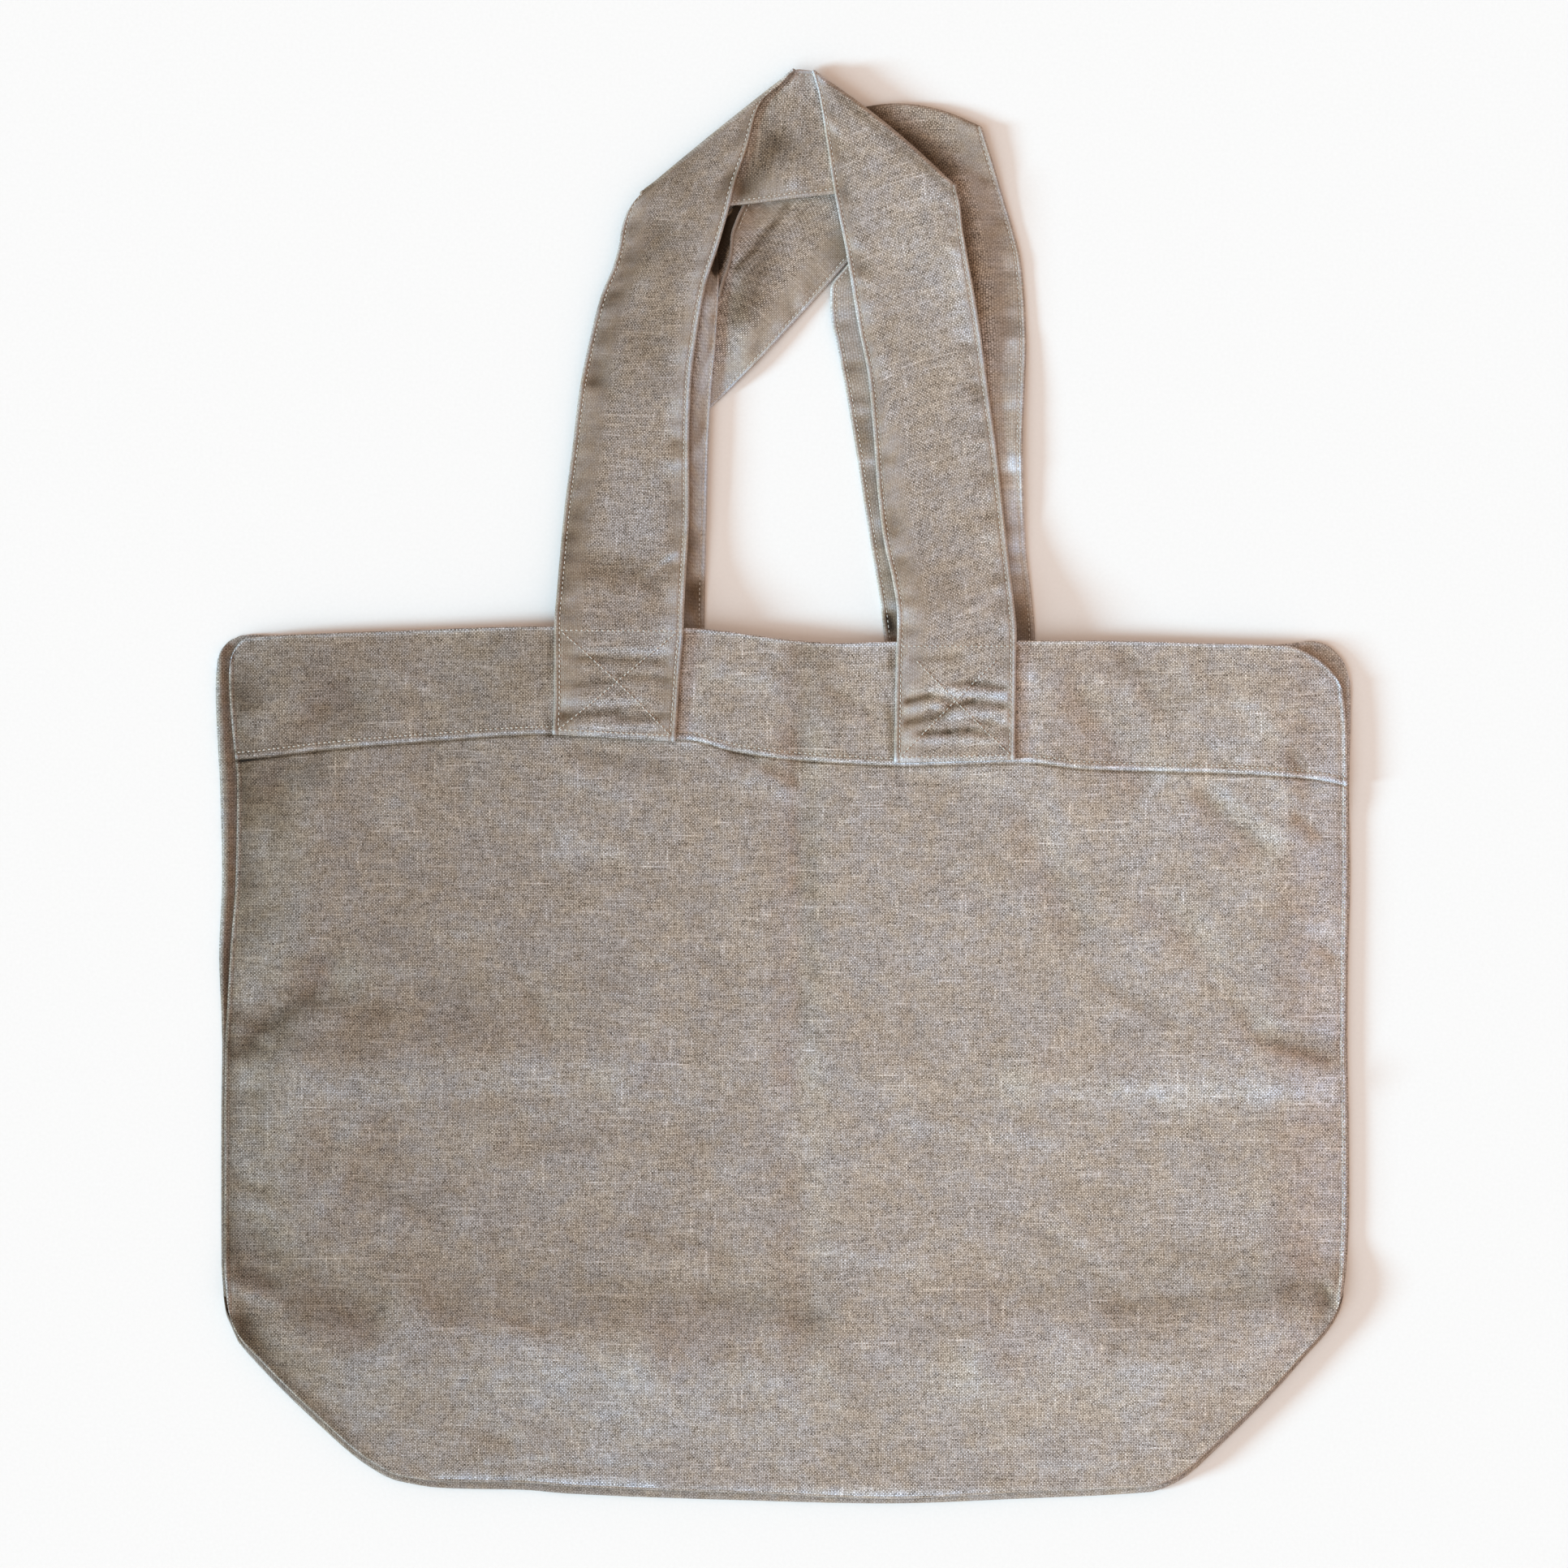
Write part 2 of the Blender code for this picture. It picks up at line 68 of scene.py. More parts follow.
# Side edges of both panels, their mouths with the front hem's lower edge, and the
# bottom edge of the back panel with what the front one stays inside it
Side = namedtuple("Side", "y back_left front_left front_right back_right")
SIDES = table(Side, [
    (50, -251.4, -245.5, 246.5, 251.2),
    (42, -251.6, -245.4, 247.9, 251.6),
    (25, -251.0, -244.1, 249.6, 251.5),
    (0, -249.7, -242.0, 250.0, 250.9),
    (-40, -248.8, -242.6, 250.0, 251.4),
    (-75, -250.1, -245.2, 249.5, 250.5),
    (-102, -249.1, -246.6, 249.2, 250.2),
    (-116, -248.8, -247.3, 249.2, 250.2),
    (-150, -249.2, -247.7, 249.8, 250.8),
    (-185, -249.2, -247.7, 249.9, 250.9),
    (-211, -249.1, -247.6, 248.9, 250.0),
    (-226, -248.1, -246.6, 247.2, 248.3),
])
Mouth = namedtuple("Mouth", "x edge hem")
FRONT_MOUTH = table(Mouth, [
    (-245.5, 50.0, 12.0),
    (-245.0, 55.5, 12.1),
    (-242.6, 61.6, 12.2),
    (-237.6, 66.0, 12.6),
    (-203.0, 67.8, 16.6),
    (-167.0, 69.1, 19.6),
    (-102.5, 70.9, 23.4),
    (-44.5, 70.2, 20.8),
    (-23.0, 68.4, 15.4),
    (0.0, 65.2, 12.2),
    (25.5, 63.4, 10.4),
    (49.0, 64.1, 9.4),
    (103.0, 64.4, 10.8),
    (130.5, 64.6, 7.9),
    (165.0, 64.1, 6.8),
    (188.0, 63.4, 6.2),
    (222.5, 62.4, 4.3),
    (232.6, 59.0, 3.2),
    (239.4, 54.4, 2.0),
    (244.6, 48.6, 0.8),
    (246.5, 43.0, 0.2),
])
Edge = namedtuple("Edge", "x y")
BACK_MOUTH = table(Edge, [
    (-251.4, 50.0), (-250.8, 56.0), (-248.8, 61.0), (-244.1, 65.5),
    (-238.3, 67.3), (-203.0, 66.4), (-102.5, 69.3), (-44.5, 68.8),
    (0.0, 63.8), (25.5, 62.0), (103.0, 63.0), (188.0, 62.2),
    (223.6, 63.2), (233.6, 64.4), (239.4, 63.4), (245.2, 59.4),
    (249.4, 53.4), (251.2, 46.0),
])
FOOT = table(Edge, [
    (-248.1, -227.0), (-246.8, -234.4), (-243.8, -242.8), (-240.5, -247.8),
    (-234.4, -254.6), (-225.2, -264.4), (-206.8, -282.1), (-188.4, -298.3),
    (-181.7, -302.8), (-173.2, -307.3), (-164.5, -309.2), (-155.5, -310.7),
    (-141.5, -311.4), (-117.0, -311.8), (-94.7, -313.6), (-21.2, -316.4),
    (45.0, -317.9), (107.3, -315.7), (163.1, -312.8), (170.6, -310.3),
    (178.6, -306.0), (187.9, -297.7), (217.1, -268.9), (231.5, -252.7),
    (241.9, -240.8), (246.8, -232.2), (248.3, -227.0),
])
Inset = namedtuple("Inset", "x by")
INSETS = table(Inset, [
    (-248, 0.6), (-225, 2.2), (-180, 2.4), (-140, 3.4),
    (-20, 3.6), (50, 2.4), (120, 3.2), (180, 2.2), (248, 0.6),
])

# Soft folds of the front panel: a negative rise is a trough
Fold = namedtuple("Fold", "x1 y1 x2 y2 width rise")
FOLDS = table(Fold, [
    (7, 20, 6, -128, 8, -1.5),
    (6, -128, 10, -262, 9, -0.8),
    (-238, -124, -70, -127, 13, 1.4),
    (-70, -127, 110, -126, 11, 0.8),
    (110, -129, 246, -131, 12, 1.8),
    (-242, -113, -200, -86, 10, -3.0),
    (-200, -88, -110, -98, 13, -1.4),
    (-222, 4, -192, 36, 11, -1.8),
    (-240, -204, -185, -234, 14, -2.6),
    (-228, -252, -60, -254, 15, 2.2),
    (-60, -254, 90, -256, 15, 1.5),
    (90, -256, 228, -250, 15, 2.3),
    (-150, -222, -20, -230, 13, -1.4),
    (100, -224, 200, -226, 13, -1.2),
    (131, 39, 160, 4, 9, -1.4),
    (110, -20, 129, -60, 9, -1.0),
    (190, -12, 208, -26, 9, -1.5),
    (168, -55, 186, -74, 9, -1.4),
    (208, -110, 244, -122, 9, -2.0),
])
# Finer creases of the front panel that the solids leave out
CREASES = table(Fold, [
    (8, 60, 7, 20, 6, -0.5),            # centre crease through the hem
    (1, 12, 3, -110, 3, 0.25),
    (-224, -85, -160, -81, 2.2, 0.45),  # ridge above the left hollow
    (-236, -112, -209, -93, 3.2, -0.7),
    (-207, -97, -176, -100, 4, -0.45),
    (-244, -100, -226, -97, 2.2, -0.6),  # tucks along the left seam
    (-245, -107, -228, -112, 2.4, 0.6),
    (-245, -119, -229, -117, 2.2, -0.6),
    (-246, -136, -232, -138, 2.6, -0.5),
    (-246, -173, -230, -180, 3.4, -0.5),
    (-246, -184, -226, -188, 2.6, 0.4),
    (-245, -212, -225, -220, 3.2, -0.6),
    (-244, -222, -224, -229, 2.6, 0.5),
    (-240, -14, -222, -18, 3, -0.35),
    (-240, -52, -224, -49, 3, 0.3),
    (-236, 30, -214, 36, 3.4, 0.35),
    (-214, 14, -196, 32, 3, 0.4),
    (225, 14, 232, 2, 3, -0.6),         # puckers at the right end of the hem
    (218, 2, 226, -6, 3, 0.4),
    (227, -14, 238, -24, 3, -0.6),
    (185, -4, 214, -29, 3.6, -0.5),
    (193, 0, 222, -24, 3, 0.35),
    (236, -71, 244, -76, 2.4, -0.5),
    (212, -112, 241, -121, 3.4, -0.6),
    (214, -104, 246, -109, 3, 0.4),
    (228, -60, 245, -64, 2.6, 0.35),
    (236, -220, 247, -234, 3.2, -0.7),  # crumple at the right corner
    (226, -214, 246, -221, 3, 0.4),
    (230, -232, 240, -242, 3, 0.4),
    (-23, 14, 5, 3, 3.4, -0.45),        # below the hem's middle
    (-22, 16, -13, 12, 2, -0.5),
    (-12, 6, 8, -4, 3, 0.35),
    (-88, 14, -52, 7, 4, -0.4),         # below the left foot
    (-94, 4, -70, -6, 3.6, 0.3),
    (52, 4, 84, 0, 4, -0.35),           # below the right foot
    (-131, -299, -104, -297.6, 1.5, 0.4),  # rolls along the bottom edge
    (-104, -297.6, -76, -298.4, 1.5, 0.45),
    (-76, -298.4, -53, -301, 1.5, 0.4),
    (-113, -305, -71, -307, 1.5, 0.35),
    (60, -303, 150, -300, 2.4, 0.3),
    (-238, -236, -206, -262, 5, -0.5),
    (-60, -196, -24, -208, 4, -0.35),
    (-30, -226, 16, -236, 6, -0.5),
    (20, -206, 62, -212, 4, 0.3),
    (122, -196, 150, -214, 4, 0.35),
    (150, -230, 226, -224, 6, -0.6),
    (-150, -232, -96, -238, 6, -0.5),
    (60, -150, 118, -158, 4, 0.25),
    (150, -134, 246, -135, 5, 0.5),
    (-120, -160, -66, -152, 5, -0.3),
    (-190, -176, -150, -192, 5, -0.4),
    (-188, -150, -206, -190, 5, 0.35),
    (140, -86, 172, -104, 4, -0.35),
    (60, -30, 92, -52, 5, -0.3),
    (-60, -34, -96, -22, 5, 0.25),
    (152, 56, 170, 30, 4, -0.35),       # in the hem
    (176, 52, 196, 34, 4, 0.3),
    (-180, 52, -150, 40, 4, 0.3),
    (-30, 52, -4, 46, 4, 0.3),
    (20, 44, 40, 30, 3, -0.35),
    (200, 40, 222, 22, 4, 0.3),
])

Pad = namedtuple("Pad", "x1 x2 y1")
# The back panel lies on the back strap's feet: it comes down over this run beside them
PADS = table(Pad, [(-88.9, -34.9, 19.4), (47.0, 111.6, 19.4)])
PAD_EDGE = 2.5
PAD_RUN = 9.0

# The straps by the ends of their rows at edges a and b. z is the height of the
# underside, or None over the front hem; az is that of edge a where it differs. At a
# crease the strap turns over, up or down to the height "to", round a bowed edge.
Station = namedtuple("Station", "ax ay bx by z az", defaults=[None])
Crease = namedtuple("Crease", "ax ay bx by z to bow")
FRONT_STRAP = [
    Station(-101.9, 22.9, -47.5, 19.8, None),
    Station(-101.2, 40.0, -46.3, 38.0, None),
    Station(-101.2, 57.0, -45.0, 56.0, None),
    Station(-101.2, 69.0, -44.0, 68.5, None),
    Station(-101.1, 74.5, -43.9, 74.5, 9.6),
    Station(-100.2, 86.0, -43.4, 86.0, 7.0),
    Station(-98.8, 103.0, -42.4, 103.0, 4.9),
    Station(-96.6, 125.6, -41.5, 126.0, 4.3),
    Station(-93.4, 150.0, -41.6, 150.0, 4.3),
    Station(-90.2, 176.0, -40.8, 177.0, 4.3),
    Station(-85.2, 200.5, -37.6, 203.0, 4.4),
    Station(-80.6, 217.5, -33.6, 224.0, 4.6),
    Station(-75.4, 230.0, -28.6, 239.5, 4.7),
    Station(-73.0, 238.5, -24.6, 253.5, 4.8),
    Station(-71.6, 247.0, -20.8, 268.5, 4.9),
    Station(-69.4, 253.8, -15.8, 283.0, 4.9),
    Station(-66.8, 258.0, -10.8, 301.0, 4.9),
    Crease(-63.5, 262.4, 5.0, 317.8, 4.9, 2.9, 0.6),
    Station(-30.0, 257.0, 7.0, 317.6, 3.8),
    Station(10.0, 261.0, 9.0, 317.4, 3.9),
    Station(45.0, 264.3, 11.0, 317.2, 3.9),
    Crease(76.8, 265.2, 13.0, 317.0, 3.9, 5.9, 2.4),
    Station(78.2, 258.0, 15.6, 307.0, 5.9),
    Station(79.4, 247.5, 18.8, 288.0, 5.8),
    Station(81.4, 236.0, 22.8, 262.0, 5.4),
    Station(84.4, 219.5, 28.2, 234.6, 4.9),
    Station(87.6, 200.0, 32.8, 206.0, 4.3),
    Station(90.7, 177.0, 37.8, 180.0, 3.3),
    Station(94.3, 152.0, 40.4, 150.0, 3.0),
    Station(96.8, 130.0, 42.2, 127.0, 3.2),
    Station(99.0, 109.0, 44.8, 107.0, 4.2),
    Station(101.0, 92.0, 48.2, 92.0, 6.2),
    Station(102.4, 78.0, 50.2, 78.0, 8.6),
    Station(103.2, 68.4, 50.4, 68.4, 9.7),
    Station(103.1, 61.0, 50.0, 61.0, None),
    Station(102.9, 45.0, 49.6, 45.0, None),
    Station(102.7, 28.0, 49.3, 27.0, None),
    Station(102.6, 11.6, 49.0, 10.4, None),
]
BACK_STRAP = [
    Station(111.6, 19.4, 53.0, 19.4, 0.0),
    Station(111.6, 45.0, 49.5, 45.0, 0.0),
    Station(111.6, 66.0, 45.2, 64.0, 0.0),
    Station(110.2, 84.0, 43.1, 81.4, 0.0),
    Station(107.6, 106.0, 39.5, 103.0, 0.0, 0.5),
    Station(106.6, 128.0, 35.7, 126.7, 0.0, 1.3),
    Station(106.2, 152.0, 32.4, 148.0, 0.0, 1.6),
    Station(107.0, 176.0, 28.0, 174.0, 0.2, 1.3),
    Station(107.8, 196.0, 24.2, 194.0, 1.1, 0.5),
    Station(107.3, 212.0, 21.0, 211.0, 1.9, 0.0),
    Station(106.6, 221.0, 20.9, 220.2, 1.9, 0.0),
    Station(105.4, 233.0, 29.8, 234.0, 1.9, 0.0),
    Station(102.0, 247.0, 33.0, 254.0, 1.9, 0.0),
    Station(97.4, 262.0, 32.0, 271.0, 1.9, 0.5),
    Station(92.6, 278.0, 29.0, 286.0, 1.9, 1.6),
    Crease(88.4, 291.6, 25.0, 298.0, 1.9, 0.0, 7.6),
    Station(68.0, 272.5, 14.0, 289.0, 0.0),
    Station(49.0, 253.3, 3.0, 278.5, 0.0),
    Station(29.5, 232.9, -8.0, 267.5, 0.0),
    Station(9.0, 209.9, -17.5, 260.5, 0.5),
    Station(-12.6, 186.8, -22.5, 256.5, 1.3),
    Station(-29.9, 169.9, -26.5, 252.5, 0.0),
    Station(-60.0, 143.8, -29.0, 249.0, 0.0),
    Crease(-89.6, 118.4, -30.5, 245.5, 0.0, 1.9, 0.0),
    Station(-89.4, 112.0, -28.4, 226.0, 1.9),
    Station(-89.3, 105.0, -29.8, 198.0, 1.9),
    Station(-89.2, 98.0, -32.0, 174.0, 1.9),
    Station(-89.1, 92.0, -33.2, 148.0, 1.9),
    Station(-89.0, 86.0, -33.8, 124.0, 1.7),
    Station(-88.9, 80.0, -34.4, 100.0, 1.0),
    Station(-88.9, 74.5, -34.8, 80.0, 0.2),
    Station(-88.9, 68.0, -34.9, 68.0, 0.0),
    Station(-88.9, 45.0, -34.9, 45.0, 0.0),
    Station(-88.9, 19.4, -34.9, 19.4, 0.0),
]
# Rolled edge of the back strap beside the slot, and the height of the leg on which
# its lower end lies
Rim = namedtuple("Rim", "x y lift")
RIM = table(Rim, [
    (-15.6, 261.0, 0.4), (-17.6, 257.0, 0.6), (-20.6, 250.2, 1.2), (-22.6, 243.7, 0.9),
    (-23.0, 237.2, 0.75), (-24.6, 230.0, 0.45), (-26.8, 223.6, 0.1), (-28.4, 217.0, 0.0),
])
RIM_RADIUS = 0.8
RIM_LEG = 1.9
# Folds and puckers of the straps' upper side, by place
STRAP_FOLDS = table(Fold, [
    (-96, 57, -52, 55, 1.7, -0.45),     # left foot
    (-98, 60.5, -50, 60, 2.0, 0.3),
    (-97, 44, -76, 46, 1.8, -0.4),
    (-72, 49, -51, 47, 1.6, -0.35),
    (-96, 37, -60, 38, 2.2, 0.4),
    (-97, 31.5, -72, 33, 1.8, -0.5),
    (-72, 30, -50, 31, 1.7, -0.45),
    (-94, 26, -56, 26, 1.8, 0.35),
    (58, 56, 78, 57, 1.9, -0.35),       # right foot
    (74, 45.3, 84, 45.5, 1.4, -0.5),
    (84, 45.5, 98, 43.4, 1.5, -0.8),
    (55, 37.5, 64, 40, 1.5, -0.75),
    (64, 40, 74, 38.2, 1.5, -0.6),
    (73, 34.8, 83, 37.5, 1.6, -0.8),
    (83, 37.5, 98, 35.5, 1.6, -0.7),
    (55, 28.2, 70, 31, 1.7, -0.75),
    (64, 33.5, 73, 32, 1.4, -0.5),
    (84, 29.5, 99, 25.5, 1.5, -0.5),
    (61, 23.5, 73, 24, 1.6, -0.8),
    (73, 24, 82, 25, 1.5, -0.75),
    (82, 25, 91, 23, 1.5, -0.6),
    (56, 41.5, 74, 43, 2.2, 0.36),
    (75, 41, 98, 40, 2.2, 0.42),
    (55, 34, 70, 35.2, 2.0, 0.5),
    (74, 31, 98, 32, 2.2, 0.3),
    (55, 20, 96, 19.5, 2.2, 0.35),
    (-56, 245, -71, 221, 6, -0.45),     # front left leg
    (-82, 184, -80, 176, 7, -0.5),
    (-84, 98, -58, 92, 6, -0.45),
    (-60, 94, -47, 103, 1.4, 0.35),
    (-88, 88, -60, 84, 4, 0.2),
    (-4, 284, -17, 267, 8, -0.28),      # middle of the front strap
])

# Bands of painted shade and painted light: the cloth's tone rises or falls by this much
FRONT_STRAP_SHADES = table(Fold, [
    (-5, 283, -17, 268, 8, -0.3),       # middle segment
    (-6, 300, 12, 268, 10, -0.2),
    (-62, 264, -28, 284, 8, -0.24),     # left leg
    (-42, 262, -58, 182, 12, -0.22),
    (-58, 130, -60, 106, 12, 0.09),
    (-78, 214, -76, 200, 7, -0.18),
    (-38, 236, -46, 62, 5, 0.12),
    (-60, 243, -70, 224, 6, 0.10),
    (-82, 184, -80, 176, 6, 0.16),
    (-80, 212, -66, 198, 7, -0.12),
    (-93, 150, -94, 128, 4, -0.14),
    (-98, 96, -72, 88, 4, -0.14),
    (20, 309, 76, 263, 2.5, -0.35),
    (62, 262, 72, 258, 5, 0.1),
    (-22, 262, -33, 226, 1.5, 0.3),
    (-66, 100, -48, 98, 6, -0.12),
    (-38, 214, -42, 84, 3, 0.12),
    (-84, 158, -92, 112, 7, -0.26),
    (-86, 98, -78, 98, 5, 0.04),
    (-98, 88, -56, 84, 4, -0.16),
    (-80, 56, -68, 28, 18, -0.08),
    (-97, 110, -99, 80, 5, -0.3),
    (12, 296, 12, 286, 6, -0.14),       # right leg
    (36, 190, 44, 110, 6, -0.20),
    (86, 200, 88, 178, 4, 0.12),
    (85, 168, 88, 162, 5, -0.14),
    (50, 86, 78, 80, 7, -0.10),
    (60, 210, 72, 110, 20, -0.06),
    (94, 104, 96, 96, 6, -0.12),
    (50, 96, 76, 90, 8, -0.10),
    (48, 116, 60, 108, 5, 0.10),
    (56, 236, 78, 208, 12, 0.12),
    (34, 246, 40, 208, 7, -0.1),
    (92, 124, 92, 112, 6, 0.14),
    (50, 17, 96, 16, 4, -0.20),         # right foot
    (50, 64, 50, 16, 2, -0.25),
    (-101, 66, -101, 26, 2, -0.25),
])
BACK_STRAP_SHADES = table(Fold, [
    (-20.5, 256, -23.5, 249, 2.0, -2.0),  # painted black shade of the deep slot beside the front left leg
    (-23.5, 249, -26, 240, 2.3, -2.0),
    (-26, 240, -29.5, 229, 2.2, -2.0),
    (2, 257, -21, 229, 1.5, -0.5),      # crease of the diagonal
    (-1, 257, -22, 232, 1.0, 0.22),
    (-8, 236, -20, 213, 8, -0.46),      # its left corner
    (-22, 206, -12, 214, 6, -0.2),
    (20, 218, -26, 173, 4, 0.3),
    (-31, 208, -37, 150, 2, -0.45),
    (-28.6, 222, -32.8, 160, 1.0, 0.3),
    (-33, 214, -37, 96, 4, 0.6),        # beside the front strap's left leg
    (-14, 196, -28, 180, 6, 0.2),
    (24, 216, 28, 198, 5, -0.16),
    (-6, 254, -4, 246, 5, -0.14),
    (29, 184, 40, 110, 4, -0.12),       # strip beside its right leg
    (10, 252, 26, 236, 8, -0.2),
    (-39, 112, -38.5, 74, 4, -0.4),     # feet of the legs
    (46, 75, 49, 65, 3, -0.7),
    (105, 77, 111, 67, 4, -0.25),
    (32, 305, 73, 273, 6, -0.7),        # shade of the front strap's right leg
    (80, 254, 84, 212, 5, -0.5),
    (60, 292, 84, 284, 8, -0.14),
    (92, 240, 100, 200, 9, -0.16),
    (102, 200, 102, 160, 4.5, 0.12),
    (102, 143, 103, 90, 4.5, 0.62),
])
PANEL_SHADES = table(Fold, [
    (-243, 38, -238, -66, 10, -0.30),      # left margin
    (-232, -140, -230, -206, 9, -0.16),
    (-218, -106, -224, -122, 6, -0.18),
    (-200, 30, -190, 28, 7, -0.14),
    (-146, 36, -134, 32, 8, -0.10),
    (-150, 12, -152, -56, 14, -0.06),
    (-190, -80, -180, -80, 8, -0.08),
    (-244, -214, -234, -250, 7, -0.14),
    (-214, -240, -196, -262, 9, -0.13),
    (-186, -128, -160, -146, 9, 0.09),
    (-8, -70, -8, -118, 9, 0.08),
    (-6, -128, -4, -138, 6, 0.10),
    (48, -140, 54, -148, 8, 0.12),
    (104, -4, 114, -52, 12, 0.05),
    (228, -40, 236, -52, 6, 0.14),
    (-150, -262, -80, -290, 14, 0.06),
    (12, -244, 16, -272, 6, -0.08),
    (72, -250, 82, -268, 8, -0.08),
    (156, -240, 164, -248, 7, -0.08),
    (172, -44, 204, -56, 9, -0.08),
    (226, -232, 238, -238, 6, -0.14),
    (-236, -46, -226, -56, 10, -0.26),
    (-242, 0, -222, -14, 7, -0.20),
    (-240, -12, -240, -32, 6, -0.16),
    (-247, 54, -234, 34, 7, -0.2),
    (-240, 10, -208, 8, 8, -0.28),
    (-240, -2, -214, -6, 6, -0.12),
    (-248, -72, -248, -205, 5.5, -0.52),
    (-235, 44, -120, 48, 20, -0.15),
    (-100, 60, -50, 62, 8, -0.10),
    (-240, -112, -182, -118, 9, -0.22),   # hollow half way down
    (-240, -122, -225, -132, 9, -0.2),
    (-236, -98, -228, -96, 5, 0.24),
    (-243, -110, -241, -126, 4, 0.14),
    (-140, 64, -108, 66, 6, -0.14),
    (-222, -12, -222, -48, 8, -0.12),
    (184, -4, 232, -26, 12, 0.07),
    (150, -218, 206, -203, 12, -0.10),
    (-40, -222, -22, -232, 8, 0.09),
    (-76, -124, -68, -134, 6, -0.09),
    (-120, -104, -106, -106, 6, 0.12),
    (-180, -111, -110, -112, 8, -0.10),
    (-215, -136, -180, -134, 8, 0.10),
    (-214, -147, -200, -150, 10, 0.12),
    (-130, -165, -30, -185, 32, 0.08),
    (-190, -178, -148, -200, 8, 0.12),
    (-160, -235, -100, -237, 8, 0.20),    # bottom left
    (-172, -284, -155, -296, 13, 0.09),
    (-100, -268, -76, -290, 15, 0.14),
    (-240, -244, -222, -258, 9, -0.28),
    (-222, -222, -204, -238, 12, -0.15),
    (-236, -211, -230, -216, 6, 0.14),
    (-246, -236, -186, -299, 4.5, -0.36),
    (-150, -309, -60, -312, 4.5, 0.85),
    (-60, -314.5, 110, -315.5, 3.5, 0.55),
    (-60, -280, 10, -285, 12, 0.09),
    (-60, -316, 60, -318, 4, 0.20),
    (-80, -245, -20, -245, 11, -0.12),    # bottom band
    (-6, -221, 26, -228, 8, -0.13),
    (20, -246, 34, -266, 8, -0.17),
    (72, -246, 130, -262, 13, -0.13),
    (118, -224, 140, -236, 10, -0.11),
    (150, -224, 214, -226, 8, 0.13),
    (140, -272, 168, -288, 10, 0.11),
    (150, -246, 202, -250, 9, -0.17),
    (178, -212, 226, -216, 9, -0.17),
    (120, -204, 146, -212, 7, -0.15),
    (18, -208, 34, -208, 6, -0.13),
    (244, -214, 239, -236, 6, -0.24),
    (30, -301, 100, -304, 5, -0.12),
    (100, -120, 196, -136, 12, -0.12),    # right of the middle
    (148, -136, 196, -135, 6, -0.08),
    (140, -150, 190, -166, 12, -0.08),
    (202, -115, 240, -130, 8, 0.29),
    (240, -132, 241, -204, 9, 0.33),
    (228, -118, 229, -190, 8, 0.10),
    (242, -66, 242, -104, 9, 0.34),
    (232, -70, 231, -96, 6, 0.14),
    (218, -8, 233, -34, 5, 0.20),
    (238, 0, 241, -60, 10, 0.30),
    (242, 50, 244, 8, 5, 0.16),
    (181, -14, 212, -30, 6, 0.20),
    (166, -66, 181, -80, 8, 0.20),
    (198, -6, 212, -16, 5, -0.13),
    (152, 52, 192, 38, 8, -0.13),
    (122, 38, 152, 6, 7, 0.16),
    (107, 60, 107, 12, 3, 0.24),          # beside the feet
    (-42, 62, -43, 20, 3, 0.26),
    (-103.2, 66, -103.6, 22, 0.9, -0.4),
    (47.6, 60, 47.2, 12, 1.1, -0.5),
    (104.4, 60, 104.2, 12, 0.9, -0.3),
    (-45, 66, -46.4, 20, 0.9, -0.3),
    (-110, 34, -104, 16, 6, 0.12),
    (-38, 50, -40, 22, 6, 0.10),
    (112, 40, 108, 10, 6, 0.12),
    (58, 5, 92, 0, 6, 0.11),
    (60, -34, 86, -50, 7, 0.12),
    (104, -60, 120, -70, 10, 0.09),
    (1, 16, 2, -112, 5, 0.10),            # centre crease
    (2, -112, 2, -160, 7, 0.20),
    (12, -6, 14, -84, 4, -0.16),
    (4, 40, 2, 12, 5, 0.12),
    (17, 60, 22, 20, 7, -0.16),
])


def smooth(t):
    t = np.clip(t, 0, 1)
    return t * t * (3 - 2 * t)


def bell(d, width):
    return np.exp(-(d / width) ** 2)


def mix(a, b, t):
    return a + (b - a) * t


def through(keys, vals, at):
    """A smooth curve with no overshoot through vals, along the first axis."""
    keys, vals, at = (np.asarray(a, float) for a in (keys, vals, at))
    tail = (1,) * (vals.ndim - 1)
    chord = np.diff(vals, axis=0) / np.diff(keys).reshape(-1, *tail)
    same = chord[:-1] * chord[1:] > 0
    total = np.where(same, chord[:-1] + chord[1:], 1.0)
    inner = np.where(same, 2 * chord[:-1] * chord[1:] / total, 0.0)
    slope = np.concatenate([chord[:1], inner, chord[-1:]])
    at = np.clip(at, keys[0], keys[-1])
    i = np.clip(np.searchsorted(keys, at, side="right") - 1, 0, len(keys) - 2)
    width = (keys[i + 1] - keys[i]).reshape(*at.shape, *tail)
    t = (at - keys[i]).reshape(*at.shape, *tail) / width
    start = (1 + 2 * t) * (1 - t) ** 2 * vals[i] + t * (1 - t) ** 2 * width * slope[i]
    return start + t * t * (3 - 2 * t) * vals[i + 1] + t * t * (t - 1) * width * slope[i + 1]


def lookup(rows, at, column, key="x"):
    rows = sorted(rows, key=lambda row: getattr(row, key))
    keys = [getattr(row, key) for row in rows]
    return through(keys, [getattr(row, column) for row in rows], at)


def side(y, column):
    return lookup(SIDES, y, column, key="y")


